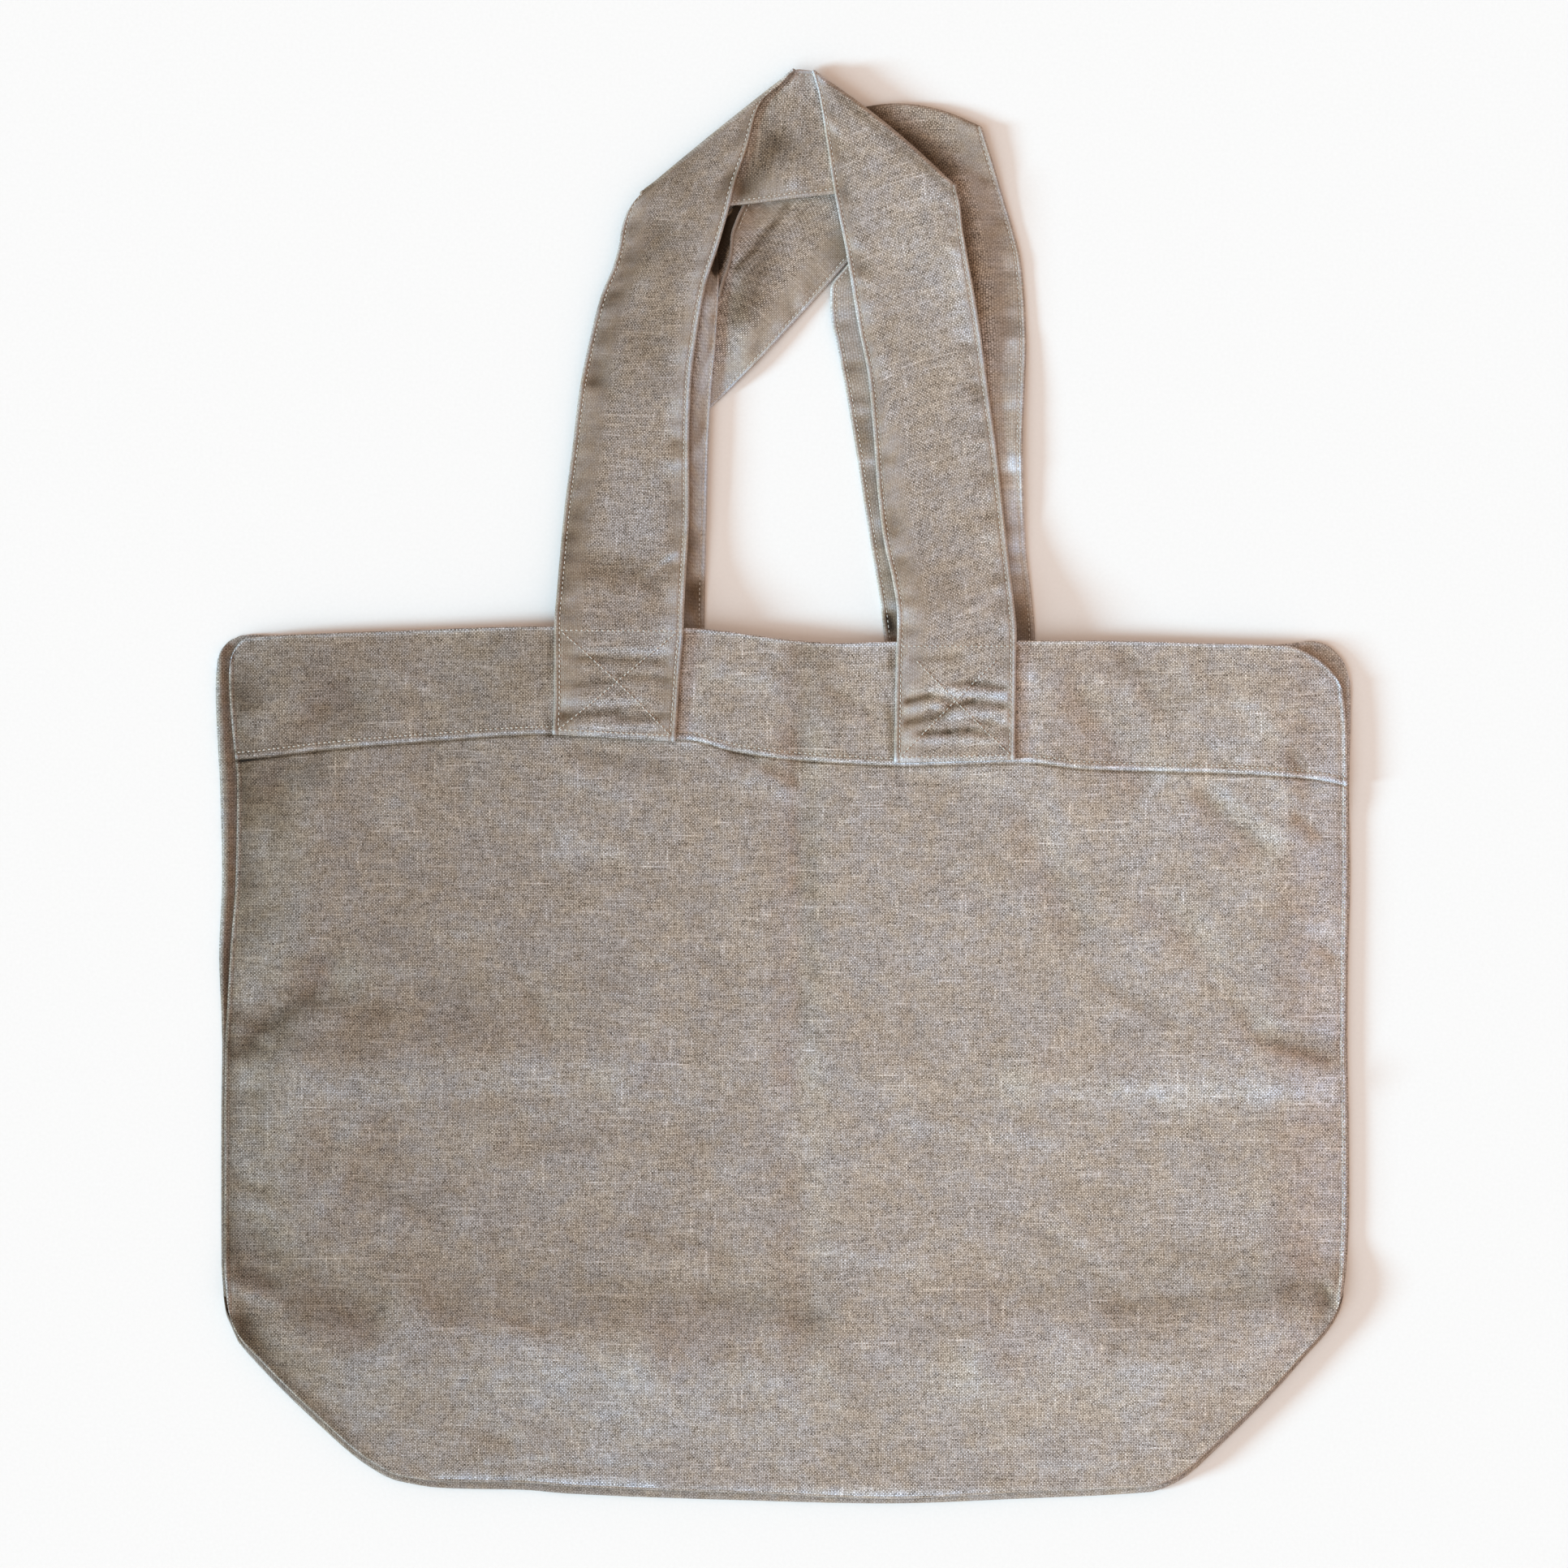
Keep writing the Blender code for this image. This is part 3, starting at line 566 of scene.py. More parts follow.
def waves(x, y, size, seed):
    """Smooth noise from -1 to 1 with features of about that size."""
    grid = np.random.default_rng(seed).uniform(-1, 1, (64, 64))
    gx, gy = x / size + 1000.5, y / size + 1000.5
    ix, iy = np.floor(gx).astype(int), np.floor(gy).astype(int)
    tx, ty = smooth(gx - ix), smooth(gy - iy)
    low = mix(grid[ix % 64, iy % 64], grid[(ix + 1) % 64, iy % 64], tx)
    high = mix(grid[ix % 64, (iy + 1) % 64], grid[(ix + 1) % 64, (iy + 1) % 64], tx)
    return mix(low, high, ty)


def rise_of(folds, x, y):
    """What soft folds along lines, with rounded ends, add at x, y."""
    total = np.zeros(np.broadcast(x, y).shape)
    for f in folds:
        dx, dy = f.x2 - f.x1, f.y2 - f.y1
        run = math.hypot(dx, dy)
        along = ((x - f.x1) * dx + (y - f.y1) * dy) / run
        off = ((x - f.x1) * dy - (y - f.y1) * dx) / run
        past = np.maximum(np.maximum(-along, along - run), 0)
        total += f.rise * np.exp(-(off / f.width) ** 2 - (past / f.width) ** 2)
    return total


def small_creases(count, seed, low, high):
    """Short random creases, mostly across the bag, that start between two corners."""
    rng = np.random.default_rng(seed)
    out = []
    for _ in range(count):
        x, y = rng.uniform(low[0], high[0]), rng.uniform(low[1], high[1])
        angle, run = rng.normal(0, 0.45), rng.uniform(10, 42)
        if rng.random() < 0.25:
            angle += math.pi / 2
        dx, dy = run * math.cos(angle), run * math.sin(angle)
        rise = rng.choice([-1, 1]) * rng.uniform(0.08, 0.24)
        out.append(Fold(x, y, x + dx, y + dy, rng.uniform(1.8, 3.6), rise))
    return out


RANDOM_CREASES = small_creases(150, 7, (-240, -305), (225, 55))


def mouth_x(u):
    """x along the front panel's mouth at shares u of its width."""
    return mix(FRONT_MOUTH[0].x, FRONT_MOUTH[-1].x, u)


def front_foot(u):
    """y of the front panel's bottom edge at shares u of its width."""
    x = mix(FOOT[0].x, FOOT[-1].x, u)
    return lookup(FOOT, x, "y") + lookup(INSETS, x, "by")


def from_sides(x, y):
    """Distance from the nearer side edge of the front panel."""
    return np.minimum(x - side(y, "front_left"), side(y, "front_right") - x)


def under_front(x, y, foot):
    """Underside of the front panel; foot is the y of its bottom edge there."""
    near = from_sides(x, y)
    # The seams come down from the turned-in layers and go up again over the back hem
    seam = mix(SEAM_HIGH, SEAM_LOW, smooth((y + 224) / 26)) + BACK_HEM * smooth((y + 16) / 12)
    high = np.sin(np.clip(near / SIDE_RUN, 0, 1) * np.pi / 2) ** 1.3
    upper_corners = smooth((np.abs(x) - 108) / 55) * smooth((y + 40) / 80)
    high = high * (1 - DROOP * upper_corners)
    z = mix(seam, POCKET, high * smooth((y - foot - TURN) / FOOT_RUN))
    inner = smooth(near / 22) * smooth((y - foot - TURN) / 18)
    return z + rise_of(FOLDS, x, y) * inner


def fine_front(x, y, foot):
    """Creases and unevenness that the cloth has on top of its main folds."""
    near = from_sides(x, y)
    inner = smooth(near / 7) * smooth((y - foot - TURN) / 7)
    crumple = 0.1 * waves(x, y, 34, 1) + 0.08 * waves(x, y * 1.3, 15, 2)
    ridged = 1 - np.abs(waves(x * 0.8, y * 1.5, 26, 4))
    crumple += 0.03 * waves(x, y * 1.4, 6.5, 3) + 0.12 * (ridged ** 5 - 0.17)
    tucks = 0.16 * waves(near * 0.35, y, 5.5, 5) * bell(near - 6, 7)
    return (crumple + rise_of(CREASES + RANDOM_CREASES, x, y) + tucks) * inner


def rounded(d, radius):
    """Share of the full thickness at a distance d from a rounded edge."""
    t = np.clip(d / radius, 0, 1)
    return 0.15 + 0.85 * np.sqrt(np.maximum(1 - (1 - t) ** 2, 0))


def spaced(start, end, step):
    """Evenly spaced values from start to end, without the end."""
    return list(np.linspace(start, end, max(2, round(abs(end - start) / step) + 1))[:-1])


def add_mesh(name, points, faces, material):
    """A smoothly shaded object from points in millimetres."""
    mesh = bpy.data.meshes.new(name)
    mesh.from_pydata((np.array(points).reshape(-1, 3) * MM).tolist(), [], faces)
    mesh.polygons.foreach_set("use_smooth", np.ones(len(faces), bool))
    mesh.materials.append(material)
    obj = bpy.data.objects.new(name, mesh)
    bpy.context.collection.objects.link(obj)
    return obj


class Cloth:
    """A closed sheet between two grids of points, with UVs in metres of cloth."""

    def __init__(self, name, upper, lower, uv, wear_and_shading, puff, material, slot, node):
        self.upper, self.lower = upper, lower
        rows, cols = upper.shape[:2]
        size = rows * cols
        at = np.arange(size).reshape(rows, cols)
        top = np.stack([at[:-1, :-1], at[1:, :-1], at[1:, 1:], at[:-1, 1:]], -1).reshape(-1, 4)
        ring = np.concatenate([at[0], at[1:, -1], at[-1, -2::-1], at[-2:0:-1, 0]])
        after = np.roll(ring, -1)
        rim = np.stack([ring, after, after + size, ring + size], -1)
        quads = np.concatenate([top, top[:, ::-1] + size, rim])
        self.obj = add_mesh(name, np.stack([upper, lower]), quads.tolist(), material)
        mesh = self.obj.data
        layer = mesh.uv_layers.new(name="cloth")
        flat = np.concatenate([uv.reshape(-1, 2)] * 2)[quads.reshape(-1)] * MM
        layer.data.foreach_set("uv", flat.astype(np.float32).ravel())
        # Each point's tone of pale wear, painted shade and painted light, and its puff
        for word, values in (("wear_and_shading", wear_and_shading), ("puff", puff)):
            both = np.tile(np.broadcast_to(values, upper.shape[:2]).ravel(), 2)
            mesh.attributes.new(word, "FLOAT", "POINT").data.foreach_set(
                "value", both.astype(np.float32))
        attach(self.obj, "root")
        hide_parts(node)


def turned_in(x, end, middle, way, share, bend_rows, flap_rows):
    """The turn at the bottom edge and the layer behind it, inside the bag.

    end and middle are the y and the height of the turn's axis. way is 1 where the cloth
    turns down and -1 where it turns up. share is half its thickness as a share of CLOTH.
    Returns the outer and inner points, and the x and the v of both.
    """
    a = np.pi * np.arange(1, bend_rows + 1)[:, None] / bend_rows
    flap_y = mix(end, np.maximum(LEVEL, end + 1), np.linspace(0, 1, flap_rows + 1)[1:, None])
    xs = np.broadcast_to(x, (bend_rows + flap_rows, len(x)))
    surfaces = []
    for radius in (GAP / 2 + CLOTH * (0.5 + share), GAP / 2 + CLOTH * (0.5 - share)):
        ys = np.concatenate([end - radius * np.sin(a), flap_y])
        zs = np.concatenate([middle + way * radius * np.cos(a),
                             middle - way * radius + 0 * flap_y])
        surfaces.append(np.stack([xs, ys, zs], -1))
    v = np.concatenate([end - a * TURN, end - np.pi * TURN - (flap_y - end)])
    return surfaces[0], surfaces[1], xs, v


def build_front(material):
    edge = [d / PANEL_WIDTH for d in (0, 0.25, 0.6, 1.0, 1.5, 2.1, 2.8, 3.6, 4.6, 5.8, 7.4, 9.4)]
    inner = spaced(12 / PANEL_WIDTH, 1 - 12 / PANEL_WIDTH, 2.8 / PANEL_WIDTH)
    us = np.array(edge + inner + [1 - u for u in reversed(edge)])
    mouth, hem = (lookup(FRONT_MOUTH, mouth_x(us), column) for column in ("edge", "hem"))
    foot = front_foot(us)
    end = foot + TURN
    # Rows down the hem, over its step and the panel, and along the bottom edge
    down = [0, 0.2, 0.5, 0.9, 1.4, 2.0, 2.8, 3.8, 5.0, 6.6, 8.6, 11]
    to_hem = spaced(13.6, 46.5, 2.6) + [47.4 + d for d in spaced(0, 7.6, 0.75)]
    ys = [mix(mouth, hem, d / 55) for d in down + to_hem]
    ys += [hem - d for d in (-0.25, 0.0, 0.22, 0.5, 0.9, 1.5, 2.3, 3.4, 5)]
    ys += [mix(hem - 5, SPLIT, t) for t in spaced(0, 1, 2.7 / 230)[1:]]
    ys += [mix(SPLIT, end, t) for t in np.linspace(0, 1, 36)]
    y = np.stack(ys)
    x = mix(side(y, "front_left"), side(y, "front_right"), us)
    fine = fine_front(x, y, foot)
    z = under_front(x, y, foot) + fine
    near, from_hem, from_mouth = from_sides(x, y), y - hem, mouth - y
    # A rounded ridge and a sewn groove along the hem, the mouth and the sides
    full = CLOTH + HEM * smooth((from_hem + 0.25) / 0.5)
    full += 0.22 * bell(from_hem - 0.9, 0.8) - 0.2 * bell(from_hem - 3.0, 0.7)
    full += 0.10 * bell(from_mouth - 1.0, 0.9) - 0.10 * bell(from_mouth - 3.6, 0.8)
    full += 0.15 * bell(near - 0.9, 0.7) - 0.16 * bell(near - 2.4, 0.8)
    full += 0.10 * waves(x, y, 4.2, 6) * bell(from_hem - 4.5, 3.5)
    shape = rounded(near, 1.0) * rounded(from_mouth, 1.1)
    upper = np.stack([x, y, z + full * (0.5 + 0.5 * shape)], -1)
    lower = np.stack([x, y, z + CLOTH / 2 - CLOTH / 2 * shape], -1)
    # Painted shade in troughs, folds, the stitched groove and below the hem's edge, painted light
    # on ridges, and pale wear with painted highlight along the edges
    wear_and_shading = 0.5 * np.clip(fine, -0.6, 0.6) + 0.09 * np.clip(rise_of(FOLDS, x, y), -2, 2)
    wear_and_shading += 0.45 * bell(from_hem - 0.9, 0.8) - 0.25 * bell(from_hem - 3.0, 0.8)
    wear_and_shading += 0.35 * bell(near - 0.9, 0.9) + 0.42 * bell(from_mouth - 0.9, 0.9)
    wear_and_shading += rise_of(PANEL_SHADES, x, y) - 0.55 * bell(from_hem + 0.8, 0.7)
    v = y.copy()
    v[from_hem > 0] += 0.4        # the weave doesn't run on over the hem's edge
    outer, inner, x_in, v_in = turned_in(x[-1], end, SEAM_HIGH - GAP / 2, 1,
                                         0.5 * rounded(near[-1], 1.0), 10, 11)
    uv = np.stack([np.concatenate([x, x_in]), np.concatenate([v, v_in])], -1)
    cloth = Cloth("front_cloth", np.concatenate([upper, outer]), np.concatenate([lower, inner]),
                  uv, np.concatenate([wear_and_shading, 0 * x_in]), 0.0, material, "front_panel_linen",
                  "front_panel")
    cloth.us, cloth.ys = us, y
    return cloth


def pad_lift(x, y):
    """How far the feet of the back strap lift the back panel."""
    lift = np.zeros(x.shape)
    for pad in PADS:
        off = np.maximum(np.maximum(pad.x1 - x, x - pad.x2), np.maximum(pad.y1 - y, 0))
        lift = np.maximum(lift, 1 - smooth((off - PAD_EDGE) / PAD_RUN))
    return lift * (STRAP + GAP)


def build_back(material):
    # Columns over the strip left of the front panel's edge, then over the rest
    lip = np.array([0, 0.05, 0.12, 0.22, 0.34, 0.46, 0.58, 0.7, 0.8, 0.88, 0.94])
    main = np.array(spaced(0, 0.96, 5 / PANEL_WIDTH) + spaced(0.96, 1.0, 1.1 / PANEL_WIDTH) + [1])
    n = len(lip)

    def columns(left, edge, right):
        return np.concatenate([mix(left, edge, lip), mix(edge, right, main)])

    at_mouth = columns(BACK_MOUTH[0].x, FRONT_MOUTH[0].x, BACK_MOUTH[-1].x)
    mouth, hem = lookup(BACK_MOUTH, at_mouth, "y"), lookup(FRONT_MOUTH, at_mouth, "hem") + 2
    foot = lookup(FOOT, columns(FOOT[0].x, SIDES[-1].front_left, FOOT[-1].x), "y")
    end = foot + TURN
    ys = [mouth - d for d in (0, 0.3, 0.8, 1.4, 2.2, 3.4, 5, 7.5, 10.5, 14)]
    ys += [mix(mouth - 14, -2, t) for t in spaced(0, 1, 4 / 66)[1:]]
    ys += [mix(-2, SPLIT, t) + 0 * mouth for t in spaced(0, 1, 5 / 220)]
    ys += [mix(SPLIT, end, t) for t in np.linspace(0, 1, 16)]
    y = np.stack(ys)
    bl, fl, br = side(y, "back_left"), side(y, "front_left"), side(y, "back_right")
    x = np.concatenate([mix(bl[:, :n], fl[:, :n], lip), mix(fl[:, n:], br[:, n:], main)], 1)
    z = pad_lift(x, y)
    thick = CLOTH + BACK_HEM * smooth((y - hem + 9) / 9)
    # The left edge rolls over where the strip is wide enough
    roll = np.clip(((fl - bl)[:, :n] - 1.8) / 3, 0, 1) * smooth((y[:, :n] + 205) / 20)
    bump = np.sin(np.pi * np.minimum(lip + 0.12, 0.98))
    thick[:, :n] += LIP * roll * bump * (1 + 0.2 * waves(y[:, :n], 0 * y[:, :n], 9, 11))
    # Layered curves round the upper right corner
    corner = np.hypot(x - 226, y - 40)
    ridges = 0.25 * np.cos((corner - 25.5) / 2.2 * np.pi) * bell(corner - 24, 4)
    thick += np.where((x > 224) & (y > 38), ridges, 0)
    near = np.minimum(x - bl, br - x)
    shape = rounded(near, 0.9) * rounded(mouth - y, 1.0)
    upper = np.stack([x, y, z + thick * (0.5 + 0.5 * shape)], -1)
    lower = np.stack([x, y, z + CLOTH / 2 * (1 - shape)], -1)
    # Pale wear with painted highlight along the edges and the mouth, and painted shade darkening
    # the strip along the left edge
    wear_and_shading = 0.3 * bell(near - 0.8, 0.9) + 0.3 * bell(mouth - y - 0.9, 1.0)
    wear_and_shading -= smooth((-x - 243) / 3) * mix(0.10, 0.42, smooth((-y - 66) / 15))
    outer, inner, x_in, v_in = turned_in(x[-1], end, TURN, -1, 0.5 * shape[-1], 8, 7)
    # Another part of the weave than on the front panel
    uv = np.stack([np.concatenate([x, x_in]) + 31, np.concatenate([y, v_in]) + 17], -1)
    return Cloth("back_cloth", np.concatenate([upper, inner]), np.concatenate([lower, outer]),
                 uv, np.concatenate([wear_and_shading, 0 * x_in]), 0.4, material, "back_panel_linen",
                 "back_panel")


def over_hem(x, y):
    """Underside of a foot sewn on the front hem."""
    u = (x - side(y, "front_left")) / (side(y, "front_right") - side(y, "front_left"))
    return under_front(x, y, front_foot(u)) + CLOTH + HEM + GAP + 0.1


# Columns of the straps: at these distances from both edges, and even ones between
EDGE_STEPS = [0, 0.25, 0.6, 1.0, 1.5, 2.0, 2.4, 2.8, 3.3, 4.2, 5.6, 7.6, 10]
EVEN_FROM, EVEN_STEP = 12.6, 2.2
STRAP_WIDTH = 54.0
ROW_STEP = 1.25
BEND_STEPS = 10
TILT_END = 0.6                # share of the width over which edge a's own height fades
STITCH_IN = 2.4               # from the straps' edges to their topstitching
DARKEST = -0.93               # the lowest wear and painted shade: below it the cloth would turn black


def front_margins(x, y):
    """Widths of the puffed margins at edges a and b of the front strap, leg by leg."""
    left = x < 0
    return np.where(left, 11.0, 3.0), np.where(left, 6.0, np.where(y < 160, 11.0, 4.0))


def back_margins(x, y):
    return 13.0, 13.0


def sweep(stations, t):
    """Rows of mid-cloth points and their normals along a strap turned over at each crease.

    The third result is each row's side: 1 face up, -1 face down and 0 in a bend.
    """
    mids, norms, faces = [], [], []
    run, face = [], 1

    def across(row, push=0.0, out=(0, 0)):
        x, y = mix(row.ax, row.bx, t) + out[0] * push, mix(row.ay, row.by, t) + out[1] * push
        base = over_hem(x, y) if row.z is None else row.z + 0 * x
        if getattr(row, "az", None) is not None:
            base = mix(row.az, row.z, smooth(t / TILT_END))
        return np.stack([x, y, base + STRAP / 2], -1)

    def close_run():
        keys = np.cumsum([0] + [np.linalg.norm((b - a)[:, :2], axis=1).mean()
                                for a, b in zip(run, run[1:])])
        rows = through(keys, np.stack(run), np.array(spaced(0, keys[-1], ROW_STEP) + [keys[-1]]))
        mids.extend(rows)
        norms.extend([np.broadcast_to([0.0, 0.0, face], rows[0].shape)] * len(rows))
        faces.extend([face] * len(rows))

    for here in stations:
        if isinstance(here, Station):
            run.append(across(here))
            continue
        along = np.array([here.bx - here.ax, here.by - here.ay])
        out = np.array([-along[1], along[0]]) / np.linalg.norm(along)
        towards = across(here)[:, :2].mean(0) - run[-1][:, :2].mean(0)
        out = out if out @ towards > 0 else -out
        radius, sign = abs(here.to - here.z) / 2, (1 if here.to > here.z else -1)
        tight = 0.2 + 0.8 * smooth(np.minimum(t, 1 - t) * STRAP_WIDTH / 6)
        bow = here.bow * (1 - (2 * t - 1) ** 2) - (radius + STRAP / 2) * tight
        run.append(across(here, bow, out))
        close_run()
        for a in np.pi * np.arange(1, BEND_STEPS) / BEND_STEPS:
            row = across(here, bow + radius * tight * math.sin(a), out)
            row[:, 2] = (here.z + here.to) / 2 - sign * radius * math.cos(a) + STRAP / 2
            side_step = -math.sin(a) * face * sign
            normal = np.array([out[0] * side_step, out[1] * side_step, math.cos(a) * face])
            mids.append(row)
            norms.append(np.broadcast_to(normal, row.shape))
            faces.append(0)
        face = -face
        run = [across(here._replace(z=here.to), bow, out)]
    close_run()
    return np.stack(mids), np.stack(norms), np.array(faces)


def build_strap(name, stations, margins, shades, material, slot, node, seed):
    edge, even = [d / STRAP_WIDTH for d in EDGE_STEPS], EVEN_FROM / STRAP_WIDTH
    t = np.array(edge + spaced(even, 1 - even, EVEN_STEP / STRAP_WIDTH) + [1 - even]
                 + [1 - d for d in reversed(edge)])
    mid, norm, faces = sweep(stations, t)
    x, y = mid[..., 0], mid[..., 1]
    steps = np.linalg.norm(np.diff(mid, axis=0), axis=2)
    grain = np.concatenate([0 * steps[:1], np.cumsum(steps, axis=0)])
    v = grain.mean(1)
    wide = np.linalg.norm(mid[:, -1] - mid[:, 0], axis=1)[:, None]
    d = np.minimum(t, 1 - t) * wide
    ends = np.minimum(v, v[-1] - v)[:, None]
    lift = rise_of(STRAP_FOLDS, x, y) * smooth(d / 5)
    lift += 0.08 * waves(x + 50 * seed, y, 17, seed) + 0.04 * waves(x, y * 1.4, 6, seed + 1)
    # The margins puff up over the seam allowance, with small puckers across them
    edge_a, edge_b = margins(x, y)
    puff = np.maximum(1 - smooth((t * wide - edge_a) / 3),
                      1 - smooth(((1 - t) * wide - edge_b) / 3))
    puff = np.maximum(puff, (faces == 0)[:, None])
    puckers = waves(0 * v[:, None] + 40 * (t > 0.5), v[:, None] + 0 * t, 4.6, seed + 2)
    lift += 0.26 * puckers * bell(d - 5.5, 4.5)
    mid = mid.copy()
    mid[..., 2] += lift * np.abs(norm[..., 2]) * smooth(d / 1.2 + 0.3)
    mid[..., 2] = np.maximum(mid[..., 2], STRAP / 2)
    half = STRAP / 2 * rounded(d, 0.85) * rounded(ends, 0.85) + 0.08 * smooth((d - 3) / 8)
    half = half + (0.07 * bell(d - 1.1, 0.7) - 0.2 * bell(d - STITCH_IN, 0.5)) * (d > 0.3)
    upper, lower = mid + norm * half[..., None], mid - norm * half[..., None]
    for surface in (upper, lower):
        surface[..., 2] = np.maximum(surface[..., 2], 0)
    # Pale wear with painted highlight along the edges and ends, painted shade in the stitched
    # grooves, troughs and folds, painted light and shade on the puckers and ridges, and the
    # painted bands
    wear_and_shading = 0.26 * bell(d - 0.9, 0.8) - 0.2 * bell(d - STITCH_IN, 0.6)
    wear_and_shading = wear_and_shading + 0.5 * np.clip(lift, -0.6, 0.6) + 0.4 * bell(ends - 0.9, 0.9)
    wear_and_shading = wear_and_shading + 0.3 * puckers * bell(d - 5.5, 4.5) - 0.06 * puff
    wear_and_shading = wear_and_shading + 0.4 * rise_of(STRAP_FOLDS, x, y) + rise_of(shades, x, y)
    # Each strap has its own part of the weave
    u = np.broadcast_to((t - 0.5) * STRAP_WIDTH, x.shape) + 7.7 * seed
    cloth = Cloth(name, upper, lower, np.stack([u, grain], -1), np.maximum(wear_and_shading, DARKEST), puff,
                  material, slot, node)
    cloth.t, cloth.v, cloth.wide, cloth.faces = t, v, wide[:, 0], faces
    return cloth


def on_grid(grid, rows, cols):
    """Points of a grid at fractional row and column numbers."""
    rows = np.clip(rows, 0, grid.shape[0] - 1.001)
    cols = np.clip(cols, 0, grid.shape[1] - 1.001)
    i, j = rows.astype(int), cols.astype(int)
    a, b = (rows - i)[:, None], (cols - j)[:, None]
    near = mix(grid[i, j], grid[i + 1, j], a)
    return mix(near, mix(grid[i, j + 1], grid[i + 1, j + 1], a), b)


class Stitching:
    """Rows of single sewn stitches, gathered into one mesh."""
    PITCH, LENGTH, WIDTH, HEIGHT = 2.25, 1.6, 0.54, 0.4
    RINGS = [(0.0, 0.25), (0.18, 0.85), (0.5, 1.0), (0.82, 0.85), (1.0, 0.25)]  # place, fatness
    ANGLES = [math.radians(a) for a in (0, 60, 120, 180, 270)]

    def __init__(self):
        self.verts, self.faces, self.rng = [], [], np.random.default_rng(21)

    def row(self, line, sink=0.02):
        """Stitches along a line of points that lie on the cloth."""
        steps = np.linalg.norm(np.diff(line, axis=0), axis=1)
        run = np.concatenate([[0], np.cumsum(steps)])
        count = max(1, int(run[-1] / self.PITCH))
        for k in range(count):
            jitter = self.rng.uniform(-0.12, 0.12, 3)
            mid = (k + 0.5 + jitter[0]) * run[-1] / count
            ends = np.array([-0.5, 0.5]) * self.LENGTH * (1 + jitter[1]) + mid
            pts = np.stack([np.interp(ends, run, line[:, i]) for i in range(3)], -1)
            self.stitch(pts[0], pts[1], sink, jitter[2] * 0.24)

    def stitch(self, p, q, sink, skew):
        along = (q - p) / np.linalg.norm(q - p)
        across = np.cross([0, 0, 1.0], along)
        across = across / np.linalg.norm(across)
        q, p = q + across * skew, p - across * skew
        start, sides = len(self.verts), len(self.ANGLES)
        for s, fat in self.RINGS:
            rise = self.HEIGHT * 0.5 * (math.sin(math.pi * s) * 0.7 + 0.1) - sink
            for a in self.ANGLES:
                at = mix(p, q, s) + across * math.cos(a) * self.WIDTH / 2 * fat
                height = rise + math.sin(a) * self.HEIGHT / 2 * fat
                self.verts.append(at + np.array([0, 0, height]))
        last = start + sides * (len(self.RINGS) - 1)
        for ring in range(start, last, sides):
            for c in range(sides):
                a, b = ring + c, ring + (c + 1) % sides
                self.faces.append((a, a + sides, b + sides, b))
        self.faces.append(tuple(range(start, start + sides)))
        self.faces.append(tuple(reversed(range(last, last + sides))))

    def build(self, name, material):
        obj = add_mesh(name, self.verts, self.faces, material)
        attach(obj, "root")
        return obj


def sew_front(front, material):
    """Stitches along the lower edge of the hem and the closed seam on the right."""
    sewing = Stitching()
    ys, count = front.ys, len(front.us)
    cols = np.linspace(3, count - 4, 900)
    hem = lookup(FRONT_MOUTH, mouth_x(np.interp(cols, range(count), front.us)), "hem")
    rows = []
    for c, h in zip(cols, hem):
        column = ys[:, int(c)] * (1 - c % 1) + ys[:, min(int(c) + 1, count - 1)] * (c % 1)
        rows.append(np.interp(-(h + 3.0), -column, range(len(ys))))
    sewing.row(on_grid(front.upper, np.array(rows), cols), 0.08)
    body = np.where((ys[:, -1] < 6) & (ys[:, -1] > -213))[0]
    rows = np.linspace(body[0], body[-1], 500)
    col = np.interp(1 - 1.7 / PANEL_WIDTH, front.us, range(count))
    sewing.row(on_grid(front.upper, rows, np.full(500, col)))
    return sewing.build("hem_stitching", material)


